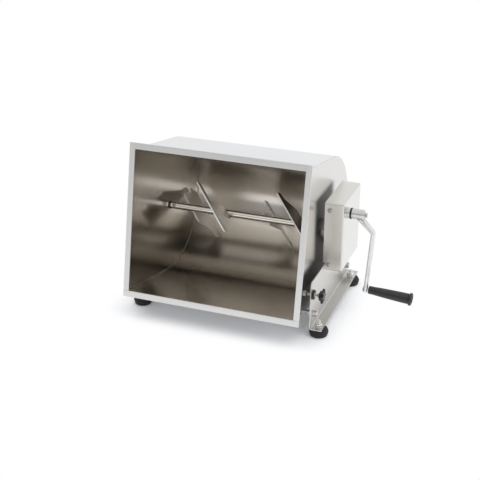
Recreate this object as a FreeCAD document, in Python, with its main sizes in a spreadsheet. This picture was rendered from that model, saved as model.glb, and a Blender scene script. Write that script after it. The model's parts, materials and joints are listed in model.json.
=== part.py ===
import FreeCAD, Part
import math
import os
import re
import Sketcher

# Manual meat mixer: a stainless tank that tips between two stands, with a shaft of four
# paddles inside it, turned by a side crank through a pair of gears.
# Lengths are millimetres. X runs along the shaft towards the crank, Y to the back, Z up.
# Every place below is measured from the middle of the shaft's axis, and axis_x, axis_y and
# axis_z then set that point above the middle of the footprint.

doc = FreeCAD.newDocument("MeatMixer")
sheet = doc.addObject("Spreadsheet::Sheet", "Sizes")

SIZES = [
    # Where the middle of the shaft stands
    ("axis_x", -89.1),
    ("axis_y", 33.29),
    ("axis_z", 181.0),
    # Tank: a sheet bent into a U, closed by two flat ends and framed by a rim
    ("tip_angle", 11.4),
    ("tank_sheet", 1.5),
    ("tank_half", 189.0),
    ("mouth_depth", 204.0),
    ("trough_offset", 10.0),
    ("trough_radius", 157.0),
    ("rim_side", 11.0),
    ("rim_edge", 12.0),
    ("rim_width", "=2 * (tank_half + rim_side)"),
    ("rim_height", "=2 * (trough_radius + rim_edge)"),
    ("rim_thick", 3.0),
    ("hub_flange_radius", 34.0),
    ("hub_flange_thick", 4.0),
    ("hub_neck_radius", 17.0),
    ("hub_past", 2.0),
    ("seal_radius", 9.8),
    ("seal_thick", 2.7),
    ("side_gap", 0.3),
    # Shaft and paddles
    ("shaft_radius", 8.0),
    ("shaft_half", "=tank_half - tank_sheet - seal_thick - side_gap"),
    ("stub_radius", 5.0),
    ("socket_depth", 22.0),
    ("end_screw_inset", 9.0),
    ("end_screw_radius", 4.0),
    ("end_screw_head", 2.0),
    ("stub_thread", 8.0),
    ("stub_nut_flats", 16.0),
    ("stub_nut_thick", 5.0),
    ("drive_radius", 7.0),
    ("paddle_inset", 46.5),
    ("paddle_pitch", "=(shaft_half - paddle_inset) / 1.5"),
    ("paddle_thick", 3.0),
    ("paddle_reach", 118.0),
    ("paddle_half", 64.0),
    ("paddle_end", 21.0),
    ("paddle_stem", 16.0),
    ("end_blade_half", 69.0),
    ("end_blade_end", 29.0),
    ("end_blade_neck", 55.0),
    ("end_blade_slope", 11.0),
    ("end_blade_root", 37.0),
    ("paddle_round", 4.0),
    ("paddle_skew_angle", 50.0),
    ("paddle_turn_angle", 29.0),
    # Stands, tie rods and feet
    ("plate_thick", 2.0),
    ("stand_clear", 15.0),
    ("stand_gap", "=tank_half + stand_clear"),
    ("stand_face", "=stand_gap + plate_thick"),
    ("hub_length", "=stand_clear + plate_thick + hub_past"),
    ("stand_front", -168.6),
    ("stand_back", 136.3),
    ("stand_shoulder", -53.0),
    ("shoulder_radius", 10.0),
    ("stand_flange", 27.0),
    ("left_tab", 56.0),
    ("upright_front", -62.7),
    ("upright_back", 71.2),
    ("upright_top", 85.3),
    ("left_top_radius", 50.0),
    ("tab_depth", 13.0),
    ("tab_short", 22.0),
    ("through", 12.0),
    ("foot_height", 17.0),
    ("foot_top_radius", 18.0),
    ("foot_wide_radius", 21.5),
    ("foot_wide", 10.5),
    ("foot_base_radius", 18.5),
    ("foot_floor", 4.0),
    ("foot_inset", 17.0),
    ("foot_back_inset", 32.0),
    ("foot_out", 16.5),
    ("left_foot_out", 13.5),
    ("bolt_radius", 4.0),
    ("nut_flats", 13.0),
    ("nut_thick", 6.5),
    ("washer_radius", 8.0),
    ("washer_thick", 1.5),
    ("bolt_end", 9.0),
    ("rod_end", 0.5),
    ("rod_front_y", -142.4),
    ("rod_front_z", "=0 - (trough_radius + bolt_radius + side_gap + rod_front_y * sin(tip_angle)) / cos(tip_angle)"),
    ("rod_back_angle", 52.7),
    ("rod_back_clear", 16.5),
    ("rod_back_y", "=trough_offset + (trough_radius + rod_back_clear) * cos(rod_back_angle)"),
    ("rod_back_z", "=0 - trough_offset * sin(tip_angle) - (trough_radius + rod_back_clear) * sin(rod_back_angle)"),
    ("bush_wall", 3.0),
    ("bush_proud", 1.5),
    # Gearbox and gears
    ("cover_front", -64.2),
    ("cover_back", 72.7),
    ("cover_bottom", -69.6),
    ("cover_top", 86.8),
    ("cover_depth", 35.6),
    ("cover_face", "=stand_face + cover_depth"),
    ("cover_sheet", 1.5),
    ("cover_lap", 4.0),
    ("screw_offset", 5.0),
    ("screw_x", "=stand_face + screw_offset"),
    ("screw_low", -56.0),
    ("screw_high", 70.5),
    ("screw_radius", 2.5),
    ("screw_head_radius", 4.75),
    ("screw_head", 2.8),
    ("screw_head_taper", 1.2),
    ("screw_length", 8.0),
    ("gear_module", 1.5),
    ("gear_teeth", 80),
    ("pinion_teeth", 22),
    ("gear_offset", 16.0),
    ("gear_x", "=stand_face + gear_offset"),
    ("gear_width", 10.0),
    ("gear_hub", 8.0),
    ("gear_hub_radius", 14.0),
    ("pinion_hub_radius", 11.0),
    ("cross_pin_radius", 2.0),
    ("clip_thick", 1.2),
    ("crank_lean_angle", 35.3),
    ("running_gap", 0.05),
    ("clip_radius", 10.5),
    ("shaft_past", 2.0),
    # Crank, handle and lock knob
    ("crank_radius", 6.0),
    ("boss_radius", 12.0),
    ("boss_spigot", 9.0),
    ("boss_length", 9.4),
    ("collar_radius", 12.5),
    ("collar_length", 3.1),
    ("arm_hub_radius", 11.5),
    ("arm_hub_length", 27.0),
    ("arm_hub_web", 4.0),
    ("arm_root", 17.0),
    ("arm_root_low", 9.5),
    ("arm_root_top", 10.0),
    ("crank_screw_flats", 10.0),
    ("crank_screw_head", 5.0),
    ("crank_screw_disc", 1.5),
    ("crank_screw_length", 18.0),
    ("arm_end_x", "=cover_face + boss_length + side_gap + collar_length + arm_hub_length"),
    ("arm_bend_out", 20.88),
    ("arm_bend_x", "=arm_end_x + arm_bend_out"),
    ("arm_bend_drop", 38.0),
    ("arm_thick", 9.0),
    ("arm_end_radius", 8.5),
    ("crank_throw", 173.0),
    ("handle_tilt_angle", 4.0),
    ("grip_gap", 2.0),
    ("grip_length", 96.0),
    ("grip_near_radius", 9.5),
    ("grip_far_radius", 13.5),
    ("grip_lip_radius", 15.5),
    ("grip_lip_width", 7.0),
    ("grip_recess", 5.0),
    ("pin_radius", 4.5),
    ("pin_rivet", 2.0),
    ("pin_cap_radius", 7.5),
    ("pin_cap_thick", 3.0),
    ("pin_end_gap", 0.4),
    ("grip_bore_gap", 0.1),
    ("grip_edge", 1.0),
    ("grip_straight", 10.0),
    ("grip_neck", 6.0),
    ("lock_y", -154.5),
    ("lock_z", -86.0),
    ("lock_clear", 1.5),
    ("lock_boss_radius", 6.5),
    ("lock_boss_thick", 3.0),
    ("lock_bush_radius", 10.5),
    ("lock_bush_length", 4.0),
    ("lock_travel", 3.5),
    ("knob_stand_off", 5.8),
    ("knob_neck", 2.0),
    ("knob_x", "=stand_face + lock_bush_length + lock_travel + knob_stand_off + knob_neck"),
    ("knob_length", 10.0),
    ("knob_shoulder", 3.5),
    ("knob_core_radius", 11.5),
    ("knob_lobe_radius", 4.8),
    ("knob_lobes", 6),
    ("knob_socket", 6.0),
]
ALIASES = {alias for alias, _ in SIZES}

for row, (alias, value) in enumerate(SIZES, start=1):
    sheet.set("A%d" % row, alias)
    sheet.set("B%d" % row, str(value))
    sheet.setAlias("B%d" % row, alias)
doc.recompute()


# Helpers: every size and place is an expression in the sheet's names


def link(text):
    """Points the bare names of an expression at the sheet's cells."""
    return re.sub("[a-z_]+", lambda word: name_cell(word.group()), text)


def name_cell(word):
    return "Sizes.%s" % word if word in ALIASES else word


def number(text):
    """What an expression is worth now."""
    return float(sheet.evalExpression(link(text)))


def bind(thing, prop, text):
    thing.setExpression(prop, link(text))


def place(thing, x="0", y="0", z="0"):
    bind(thing, "Placement.Base.x", x)
    bind(thing, "Placement.Base.y", y)
    bind(thing, "Placement.Base.z", z)
    return thing


ALONG = {
    "X": FreeCAD.Rotation(FreeCAD.Vector(0, 1, 0), 90),
    "Y": FreeCAD.Rotation(FreeCAD.Vector(1, 0, 0), -90),
    "Z": FreeCAD.Rotation(),
}


def block(name, length, width, height, x="0", y="0", z="0"):
    thing = doc.addObject("Part::Box", name)
    bind(thing, "Length", length)
    bind(thing, "Width", width)
    bind(thing, "Height", height)
    return place(thing, x, y, z)


def bar(name, radius, length, x="0", y="0", z="0", along="X"):
    """A round bar that starts at the given point and runs along one axis."""
    thing = doc.addObject("Part::Cylinder", name)
    bind(thing, "Radius", radius)
    bind(thing, "Height", length)
    thing.Placement = FreeCAD.Placement(FreeCAD.Vector(), ALONG[along])
    return place(thing, x, y, z)


def cone(name, start_radius, end_radius, length, x="0", y="0", z="0", along="Z"):
    thing = doc.addObject("Part::Cone", name)
    bind(thing, "Radius1", start_radius)
    bind(thing, "Radius2", end_radius)
    bind(thing, "Height", length)
    thing.Placement = FreeCAD.Placement(FreeCAD.Vector(), ALONG[along])
    return place(thing, x, y, z)


def hexagon(name, flats, length, x="0", y="0", z="0", along="X"):
    """A hexagon bar, given by the distance across its flats."""
    thing = doc.addObject("Part::Prism", name)
    thing.Polygon = 6
    bind(thing, "Circumradius", "%s / sqrt(3)" % flats)
    bind(thing, "Height", length)
    thing.Placement = FreeCAD.Placement(FreeCAD.Vector(), ALONG[along])
    return place(thing, x, y, z)


def fuse(name, parts):
    thing = doc.addObject("Part::MultiFuse", name)
    thing.Shapes = parts
    thing.Refine = True
    return thing


def cut(name, base, tools):
    tool = tools[0] if len(tools) == 1 else fuse(name + "Tools", tools)
    thing = doc.addObject("Part::Cut", name)
    thing.Base = base
    thing.Tool = tool
    thing.Refine = True
    return thing


def tube(name, outer, inner, length, x="0", y="0", z="0", along="X"):
    outside = bar(name + "Outer", outer, length, x, y, z, along)
    inside = bar(name + "Bore", inner, length, x, y, z, along)
    return cut(name, outside, [inside])


def group(name, parts):
    """Separate solids of one kind that share a node."""
    thing = doc.addObject("Part::Compound", name)
    thing.Links = parts
    return thing


def datum(body, role):
    return [item for item in body.Origin.OriginFeatures if item.Role == role][0]


def outline(body, name, plane, corners):
    """A closed sketch of straight lines, each corner held by two bound distances."""
    sketch = body.newObject("Sketcher::SketchObject", name)
    sketch.AttachmentSupport = [(datum(body, plane), "")]
    sketch.MapMode = "FlatFace"
    spots = [FreeCAD.Vector(number(across), number(up), 0) for across, up in corners]
    count = len(spots)
    for index in range(count):
        sketch.addGeometry(Part.LineSegment(spots[index], spots[(index + 1) % count]), False)
    for index in range(count):
        following = (index + 1) % count
        sketch.addConstraint(Sketcher.Constraint("Coincident", index, 2, following, 1))
    for index, (across, up) in enumerate(corners):
        hold = sketch.addConstraint(
            Sketcher.Constraint("DistanceX", -1, 1, index, 1, spots[index].x)
        )
        bind(sketch, "Constraints[%d]" % hold, across)
        hold = sketch.addConstraint(
            Sketcher.Constraint("DistanceY", -1, 1, index, 1, spots[index].y)
        )
        bind(sketch, "Constraints[%d]" % hold, up)
    return sketch


def pad(body, name, sketch, length, midplane=False):
    feature = body.newObject("PartDesign::Pad", name)
    feature.Profile = sketch
    bind(feature, "Length", length)
    feature.Midplane = midplane
    doc.recompute()
    return feature


def round_edges(body, name, base, radius, wanted):
    """Fillets the edges of a feature whose middle point passes the given test."""
    names = []
    for index, edge in enumerate(base.Shape.Edges, start=1):
        middle = edge.valueAt((edge.FirstParameter + edge.LastParameter) / 2)
        if wanted(edge, middle):
            names.append("Edge%d" % index)
    feature = body.newObject("PartDesign::Fillet", name)
    feature.Base = (base, names)
    bind(feature, "Radius", radius)
    doc.recompute()
    return feature


PIECES = []


def piece(thing, label, tips=False):
    """Names a finished sub-part and puts it in place, tipped if it rides on the tank."""
    if thing.isDerivedFrom("Part::Primitive"):
        thing = group(thing.Name + "Alone", [thing])
    thing.Label = label
    if tips:
        lean = FreeCAD.Rotation(FreeCAD.Vector(-1, 0, 0), number("tip_angle"))
        thing.Placement = FreeCAD.Placement(FreeCAD.Vector(), lean)
        bind(thing, "Placement.Rotation.Angle", "tip_angle")
    place(thing, "axis_x", "axis_y", "axis_z")
    PIECES.append(thing)
    return thing


# Tank


def trough(name, half, radius, front, length_x, x):
    """The U shape: a flat-sided channel that ends in a half round at the back."""
    channel = block(
        name + "Channel", length_x, "%s + trough_offset" % front, "2 * %s" % radius,
        x, "0 - %s" % front, "0 - %s" % radius,
    )
    bend = bar(name + "Bend", radius, length_x, x, "trough_offset", "0")
    return fuse(name, [channel, bend])


WALL_FRONT = "( mouth_depth - rim_thick )"
INNER_RADIUS = "( trough_radius - tank_sheet )"
INNER_HALF = "( tank_half - tank_sheet )"


def make_tank():
    outer = trough(
        "WrapOuter", "tank_half", "trough_radius", WALL_FRONT,
        "2 * %s" % INNER_HALF, "0 - %s" % INNER_HALF,
    )
    inner = trough(
        "WrapInner", "tank_half", INNER_RADIUS, "mouth_depth",
        "2 * tank_half", "0 - tank_half",
    )
    piece(cut("Wrap", outer, [inner]), "tank_wrap", tips=True)

    for side, x, bore in (
        ("left", "0 - tank_half", "stub_radius"),
        ("right", INNER_HALF, "drive_radius"),
    ):
        wall = trough("End_" + side, "tank_half", "trough_radius", WALL_FRONT, "tank_sheet", x)
        hole = bar("EndHole_" + side, "%s + running_gap" % bore, "tank_sheet", x)
        piece(cut("EndWall_" + side, wall, [hole]), "tank_end_" + side, tips=True)

    frame = block(
        "RimPlate", "rim_width", "rim_thick", "rim_height",
        "0 - rim_width / 2", "0 - mouth_depth", "0 - rim_height / 2",
    )
    opening = block(
        "RimOpening", "2 * %s" % INNER_HALF, "rim_thick", "2 * %s" % INNER_RADIUS,
        "0 - %s" % INNER_HALF, "0 - mouth_depth", "0 - %s" % INNER_RADIUS,
    )
    piece(cut("Rim", frame, [opening]), "tank_rim", tips=True)

    for side, flange_x, neck_x, bore in (
        ("left", "0 - tank_half - hub_flange_thick", "0 - tank_half - hub_length", "stub_radius"),
        ("right", "tank_half", "tank_half", "drive_radius"),
    ):
        flange = bar("HubFlange_" + side, "hub_flange_radius", "hub_flange_thick", flange_x)
        neck = bar("HubNeck_" + side, "hub_neck_radius", "hub_length", neck_x)
        hole = bar("HubHole_" + side, "%s + running_gap" % bore, "hub_length", neck_x)
        hub = cut("Hub_" + side, fuse("HubBody_" + side, [flange, neck]), [hole])
        piece(hub, "tank_hub_" + side, tips=True)

    for side, x, bore in (
        ("left", "0 - %s" % INNER_HALF, "stub_radius"),
        ("right", "%s - seal_thick" % INNER_HALF, "drive_radius"),
    ):
        seal = tube("Seal_" + side, "seal_radius", "%s + running_gap" % bore, "seal_thick", x)
        piece(seal, "shaft_seal_" + side, tips=True)

    boss = tube(
        "LockBoss", "lock_boss_radius", "bolt_radius + side_gap", "lock_boss_thick",
        "tank_half", "lock_y * cos(tip_angle) - lock_z * sin(tip_angle)",
        "lock_y * sin(tip_angle) + lock_z * cos(tip_angle)",
    )
    piece(boss, "lock_boss", tips=True)


# Shaft and paddles


def make_agitator():
    socket = "shaft_half - socket_depth"
    core = bar("ShaftBar", "shaft_radius", "2 * shaft_half", "0 - shaft_half")
    left_socket = bar("SocketLeft", "stub_radius", "socket_depth", "0 - shaft_half")
    right_socket = bar("SocketRight", "stub_radius", "socket_depth", socket)
    screw_at = ("( shaft_half - end_screw_inset )", "( 0 - shaft_half + end_screw_inset )")
    screw_holes = [
        bar("ShaftScrewHole%d" % n, "screw_radius", "2 * shaft_radius", x, "0",
            "0 - shaft_radius", "Z")
        for n, x in enumerate(screw_at)
    ]
    shaft = cut("Shaft", core, [left_socket, right_socket] + screw_holes)
    piece(shaft, "paddle_shaft")

    for index, step in enumerate((-1.5, -0.5, 0.5, 1.5), start=1):
        make_paddle(index, step, forward=index % 2 == 0, at_end=index in (1, 4))

    screws = []
    for n, x in enumerate(screw_at):
        stem = bar("ShaftScrewStem%d" % n, "screw_radius", "2 * shaft_radius", x, "0",
                   "0 - shaft_radius", "Z")
        head = bar("ShaftScrewHead%d" % n, "end_screw_radius", "end_screw_head", x, "0",
                   "shaft_radius", "Z")
        seat = bar("ShaftScrewSeat%d" % n, "shaft_radius", "3 * end_screw_radius",
                   "%s - 1.5 * end_screw_radius" % x)
        trimmed = cut("ShaftScrewTop%d" % n, head, [seat])
        screws.append(fuse("ShaftScrew%d" % n, [stem, trimmed]))
    piece(group("ShaftScrews", screws), "shaft_screws")

    washer_in = "( tank_half + hub_length + side_gap )"
    stub_out = "( %s + washer_thick + stub_thread )" % washer_in
    left = bar("StubBar", "stub_radius", "socket_depth + %s - shaft_half" % stub_out,
               "0 - %s" % stub_out)
    left_hole = bar("StubHole", "screw_radius", "2 * shaft_radius", screw_at[1], "0",
                    "0 - shaft_radius", "Z")
    piece(cut("Stub", left, [left_hole]), "pivot_stub")
    washer = tube("StubWasher", "washer_radius + 2", "stub_radius", "washer_thick",
                  "0 - %s - washer_thick" % washer_in)
    piece(washer, "stub_washer")
    nut_x = "0 - %s - washer_thick - stub_nut_thick" % washer_in
    nut = hexagon("StubNutBody", "stub_nut_flats", "stub_nut_thick", nut_x)
    bore = bar("StubNutBore", "stub_radius", "stub_nut_thick", nut_x)
    piece(cut("StubNut", nut, [bore]), "stub_nut")

    end_x = "( gear_x + gear_width + clip_thick + shaft_past )"
    spigot = bar("DriveSpigot", "stub_radius", "socket_depth", socket)
    journal = bar("DriveJournal", "drive_radius", "%s - shaft_half" % end_x, "shaft_half")
    pin_x = "gear_x - gear_hub / 2"
    pin_hole = bar("DrivePinHole", "cross_pin_radius", "2 * gear_hub_radius", pin_x, "0",
                   "0 - gear_hub_radius", "Z")
    screw_hole = bar("DriveScrewHole", "screw_radius", "2 * shaft_radius", screw_at[0], "0",
                     "0 - shaft_radius", "Z")
    drive = cut("Drive", fuse("DriveBar", [spigot, journal]), [pin_hole, screw_hole])
    piece(drive, "drive_shaft")

    wheel = gear("GearTeeth", number("gear_teeth"), number("gear_width"), 90 + number("crank_lean_angle"))
    place(wheel, "gear_x")
    boss = bar("GearBoss", "gear_hub_radius", "gear_hub", "gear_x - gear_hub")
    bore = bar("GearBore", "drive_radius", "gear_hub + gear_width", "gear_x - gear_hub")
    gear_pin_hole = bar("GearPinHole", "cross_pin_radius", "2 * gear_hub_radius", pin_x, "0",
                        "0 - gear_hub_radius", "Z")
    piece(cut("DriveGear", fuse("GearBlank", [wheel, boss]), [bore, gear_pin_hole]), "drive_gear")
    pin = bar("GearPin", "cross_pin_radius", "2 * gear_hub_radius", pin_x, "0",
              "0 - gear_hub_radius", "Z")
    piece(pin, "gear_pin")
    clip = tube("GearClip", "clip_radius", "drive_radius", "clip_thick",
                "gear_x + gear_width")
    piece(clip, "gear_clip")


def make_paddle(index, step, forward, at_end):
    """A flat blade on the shaft: a bar on a narrow stem, or a full plate near the end walls."""
    body = doc.addObject("PartDesign::Body", "Paddle%d" % index)
    if at_end:
        half = [
            ("end_blade_root", "shaft_radius / 2"),
            ("end_blade_neck", "paddle_reach - end_blade_end - end_blade_slope"),
            ("end_blade_half", "paddle_reach - end_blade_end"),
            ("paddle_half", "paddle_reach"),
        ]
    else:
        half = [
            ("paddle_stem", "shaft_radius / 2"),
            ("paddle_stem", "paddle_reach - paddle_end"),
            ("paddle_half", "paddle_reach - paddle_end"),
            ("paddle_half", "paddle_reach"),
        ]
    corners = half + [("0 - %s" % across, up) for across, up in reversed(half)]
    sketch = outline(body, "Blade%d" % index, "XZ_Plane", corners)
    blade = pad(body, "BladePad%d" % index, sketch, "paddle_thick", midplane=True)
    reach = number("paddle_reach")
    round_edges(
        body, "BladeCorners%d" % index, blade, "paddle_round",
        lambda edge, middle: middle.z > reach - 1 and abs(middle.y) < 0.1
        and edge.Length < number("paddle_thick") + 1,
    )
    turn = 90 - number("paddle_turn_angle")
    skew = number("paddle_skew_angle")
    if forward:
        skew = -skew
    else:
        turn = turn - 180
    body.Placement.Rotation = FreeCAD.Rotation(FreeCAD.Vector(1, 0, 0), turn).multiply(
        FreeCAD.Rotation(FreeCAD.Vector(0, 0, 1), skew)
    )
    place(body, "%s * paddle_pitch" % step)
    seat = bar("PaddleSeat%d" % index, "shaft_radius", "2 * shaft_half", "0 - shaft_half")
    piece(cut("PaddleBlade%d" % index, body, [seat]), "paddle_%d" % index)


# Shape of a tooth, in modules
TOOTH_ABOVE = 0.9
TOOTH_BELOW = 1.25
TOOTH_TIP_HALF = 0.36
TOOTH_ROOT_HALF = 0.95


def gear(name, teeth, width, phase):
    """A spur gear from straight-flanked teeth, facing along X, with one tooth at phase degrees."""
    module = number("gear_module")
    pitch_radius = module * teeth / 2
    tip = pitch_radius + TOOTH_ABOVE * module
    root = pitch_radius - TOOTH_BELOW * module
    half_tip = TOOTH_TIP_HALF * module / tip
    half_root = TOOTH_ROOT_HALF * module / root
    step = 2 * math.pi / teeth
    spots = []
    for tooth in range(int(teeth)):
        middle = math.radians(phase) + tooth * step
        for radius, turn in ((root, -half_root), (tip, -half_tip), (tip, half_tip), (root, half_root)):
            angle = middle + turn
            spots.append(FreeCAD.Vector(0, radius * math.cos(angle), radius * math.sin(angle)))
    face = Part.Face(Part.makePolygon(spots + [spots[0]]))
    thing = doc.addObject("Part::Feature", name)
    thing.Shape = face.extrude(FreeCAD.Vector(width, 0, 0))
    return thing


# Stands


STAND_BASE = "( foot_height - axis_z )"
FOOT_FRONT = "stand_front + foot_inset"
FOOT_BACK = "stand_back - foot_back_inset"
CRANK_AXIS = "( gear_module * ( gear_teeth + pinion_teeth ) / 2 )"
CRANK_Y = "( 0 - %s * sin(crank_lean_angle) )" % CRANK_AXIS
CRANK_Z = "( %s * cos(crank_lean_angle) )" % CRANK_AXIS


def stand_plate(side, x):
    """The upright plate: a wide base and a narrower neck, its corners rounded."""
    body = doc.addObject("PartDesign::Body", "StandPlate_" + side)
    corners = [
        ("stand_front", STAND_BASE),
        ("stand_back", STAND_BASE),
        ("stand_back", "stand_shoulder"),
        ("upright_back", "stand_shoulder"),
        ("upright_back", "upright_top"),
        ("upright_front", "upright_top"),
        ("upright_front", "stand_shoulder"),
        ("stand_front", "stand_shoulder"),
    ]
    sketch = outline(body, "StandOutline_" + side, "YZ_Plane", corners)
    plate = pad(body, "StandPad_" + side, sketch, "plate_thick")
    thick = number("plate_thick")
    shoulder = number("stand_shoulder")
    top = number("upright_top")
    ends = (number("stand_front"), number("stand_back"))

    def outer_shoulder(edge, middle):
        across = min(abs(middle.y - end) for end in ends)
        return edge.Length < thick + 0.1 and across < 0.1 and abs(middle.z - shoulder) < 0.1

    def top_corner(edge, middle):
        return edge.Length < thick + 0.1 and abs(middle.z - top) < 0.1

    plate = round_edges(body, "Shoulders_" + side, plate, "shoulder_radius", outer_shoulder)
    radius = "left_top_radius" if side == "left" else "3"
    round_edges(body, "TopCorners_" + side, plate, radius, top_corner)
    return place(body, x)


def make_stand(side, x):
    parts = [stand_plate(side, x)]
    depth = "stand_back - stand_front"
    if side == "right":
        parts.append(block(
            "Flange_right", "stand_flange", depth, "plate_thick", x, "stand_front", STAND_BASE
        ))
        tab_height = "cover_top - cover_bottom - 2 * cover_sheet - tab_short"
        for name, y in (("Front", "upright_front"), ("Back", "upright_back - plate_thick")):
            parts.append(block(
                "Tab" + name, "tab_depth", "plate_thick", tab_height, x, y,
                "cover_bottom + cover_sheet + 2",
            ))
    else:
        for name, y in (("Front", "stand_front"), ("Back", "stand_back - left_tab")):
            parts.append(block(
                "FootTab" + name, "stand_flange", "left_tab", "plate_thick", x, y, STAND_BASE
            ))
    hole_x = "%s + plate_thick / 2 - through / 2" % x
    holes = [
        bar("HubHoleIn_" + side, "hub_neck_radius + bush_wall", "through", hole_x),
        bar("RodHoleFront_" + side, "bolt_radius", "through", hole_x, "rod_front_y",
            "rod_front_z"),
        bar("RodHoleBack_" + side, "bolt_radius", "through", hole_x, "rod_back_y", "rod_back_z"),
    ]
    for n, y in enumerate((FOOT_FRONT, FOOT_BACK)):
        holes.append(bar(
            "FootHole%d_%s" % (n, side), "bolt_radius", "through", foot_place(side), y,
            "%s + plate_thick / 2 - through / 2" % STAND_BASE, "Z",
        ))
    if side == "right":
        holes.append(bar(
            "CrankBushHole", "crank_radius + bush_wall", "through", hole_x, CRANK_Y, CRANK_Z
        ))
        holes.append(bar(
            "LockHole", "bolt_radius + side_gap", "through", hole_x, "lock_y", "lock_z"
        ))
        for n, (y, z) in enumerate(cover_screw_spots()):
            start = "%s - through / 2" % y
            holes.append(bar(
                "TabHole%d" % n, "screw_radius", "through", "screw_x", start, z, "Y"
            ))
    piece(cut("Stand_" + side, fuse("StandBody_" + side, parts), holes), "stand_" + side)

    bush = tube(
        "PivotBush_" + side, "hub_neck_radius + bush_wall", "hub_neck_radius + running_gap",
        "plate_thick + 2 * bush_proud", "%s - bush_proud" % x,
    )
    piece(bush, "pivot_bush_" + side)


def foot_place(side):
    """How far along the shaft a side's feet stand."""
    return "stand_gap + foot_out" if side == "right" else "0 - stand_face + left_foot_out"


def cover_screw_spots():
    return [
        (y, z)
        for y in ("cover_front", "cover_back")
        for z in ("screw_low", "screw_high")
    ]


LEFT_X = "( 0 - stand_face )"
RIGHT_X = "stand_gap"


def make_stands():
    make_stand("left", LEFT_X)
    make_stand("right", RIGHT_X)

    nuts = []
    washers = []
    for row, y, z in (
        ("Front", "rod_front_y", "rod_front_z"), ("Back", "rod_back_y", "rod_back_z")
    ):
        reach = "( stand_face + washer_thick + nut_thick + rod_end )"
        rod = bar("TieRod" + row, "bolt_radius", "2 * %s" % reach, "0 - %s" % reach, y, z)
        piece(rod, "tie_rod_" + row.lower())
        for side, washer_x, nut_x in (
            ("LeftOut", "%s - washer_thick" % LEFT_X, "%s - washer_thick - nut_thick" % LEFT_X),
            ("LeftIn", "0 - stand_gap", "0 - stand_gap + washer_thick"),
            ("RightIn", "stand_gap - washer_thick", "stand_gap - washer_thick - nut_thick"),
            ("RightOut", "stand_face", "stand_face + washer_thick"),
        ):
            name = row + side
            washers.append(tube(
                "RodWasher" + name, "washer_radius", "bolt_radius", "washer_thick", washer_x, y, z
            ))
            nut = hexagon("RodNutBody" + name, "nut_flats", "nut_thick", nut_x, y, z)
            bore = bar("RodNutBore" + name, "bolt_radius", "nut_thick", nut_x, y, z)
            nuts.append(cut("RodNut" + name, nut, [bore]))
    piece(group("RodNuts", nuts), "tie_rod_nuts")
    piece(group("RodWashers", washers), "tie_rod_washers")

    studs = []
    nuts = []
    washers = []
    for side in ("left", "right"):
        for row, y in (("front", FOOT_FRONT), ("back", FOOT_BACK)):
            name = "%s_%s" % (row, side)
            foot_x = foot_place(side)
            lower = cone(
                "FootLower_" + name, "foot_base_radius", "foot_wide_radius", "foot_wide",
                foot_x, y, "0 - axis_z",
            )
            upper = cone(
                "FootUpper_" + name, "foot_wide_radius", "foot_top_radius",
                "foot_height - foot_wide", foot_x, y, "foot_wide - axis_z",
            )
            body = fuse("FootBody_" + name, [lower, upper])
            socket = bar(
                "FootSocket_" + name, "bolt_radius", "foot_height - foot_floor", foot_x, y,
                "foot_floor - axis_z", "Z",
            )
            piece(cut("Foot_" + name, body, [socket]), "foot_" + name)
            flange_top = "%s + plate_thick" % STAND_BASE
            studs.append(bar(
                "FootStud_" + name, "bolt_radius",
                "foot_height - foot_floor + plate_thick + washer_thick + nut_thick + bolt_end",
                foot_x, y, "foot_floor - axis_z", "Z",
            ))
            washers.append(tube(
                "FootWasher_" + name, "washer_radius", "bolt_radius", "washer_thick",
                foot_x, y, flange_top, "Z",
            ))
            nut_z = "%s + washer_thick" % flange_top
            nut = hexagon("FootNutBody_" + name, "nut_flats", "nut_thick", foot_x, y, nut_z, "Z")
            bore = bar("FootNutBore_" + name, "bolt_radius", "nut_thick", foot_x, y, nut_z, "Z")
            nuts.append(cut("FootNut_" + name, nut, [bore]))
    piece(group("FootStuds", studs), "foot_studs")
    piece(group("FootNuts", nuts), "foot_nuts")
    piece(group("FootWashers", washers), "foot_washers")


# Gearbox cover, its screws and the bearings of the crank


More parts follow.
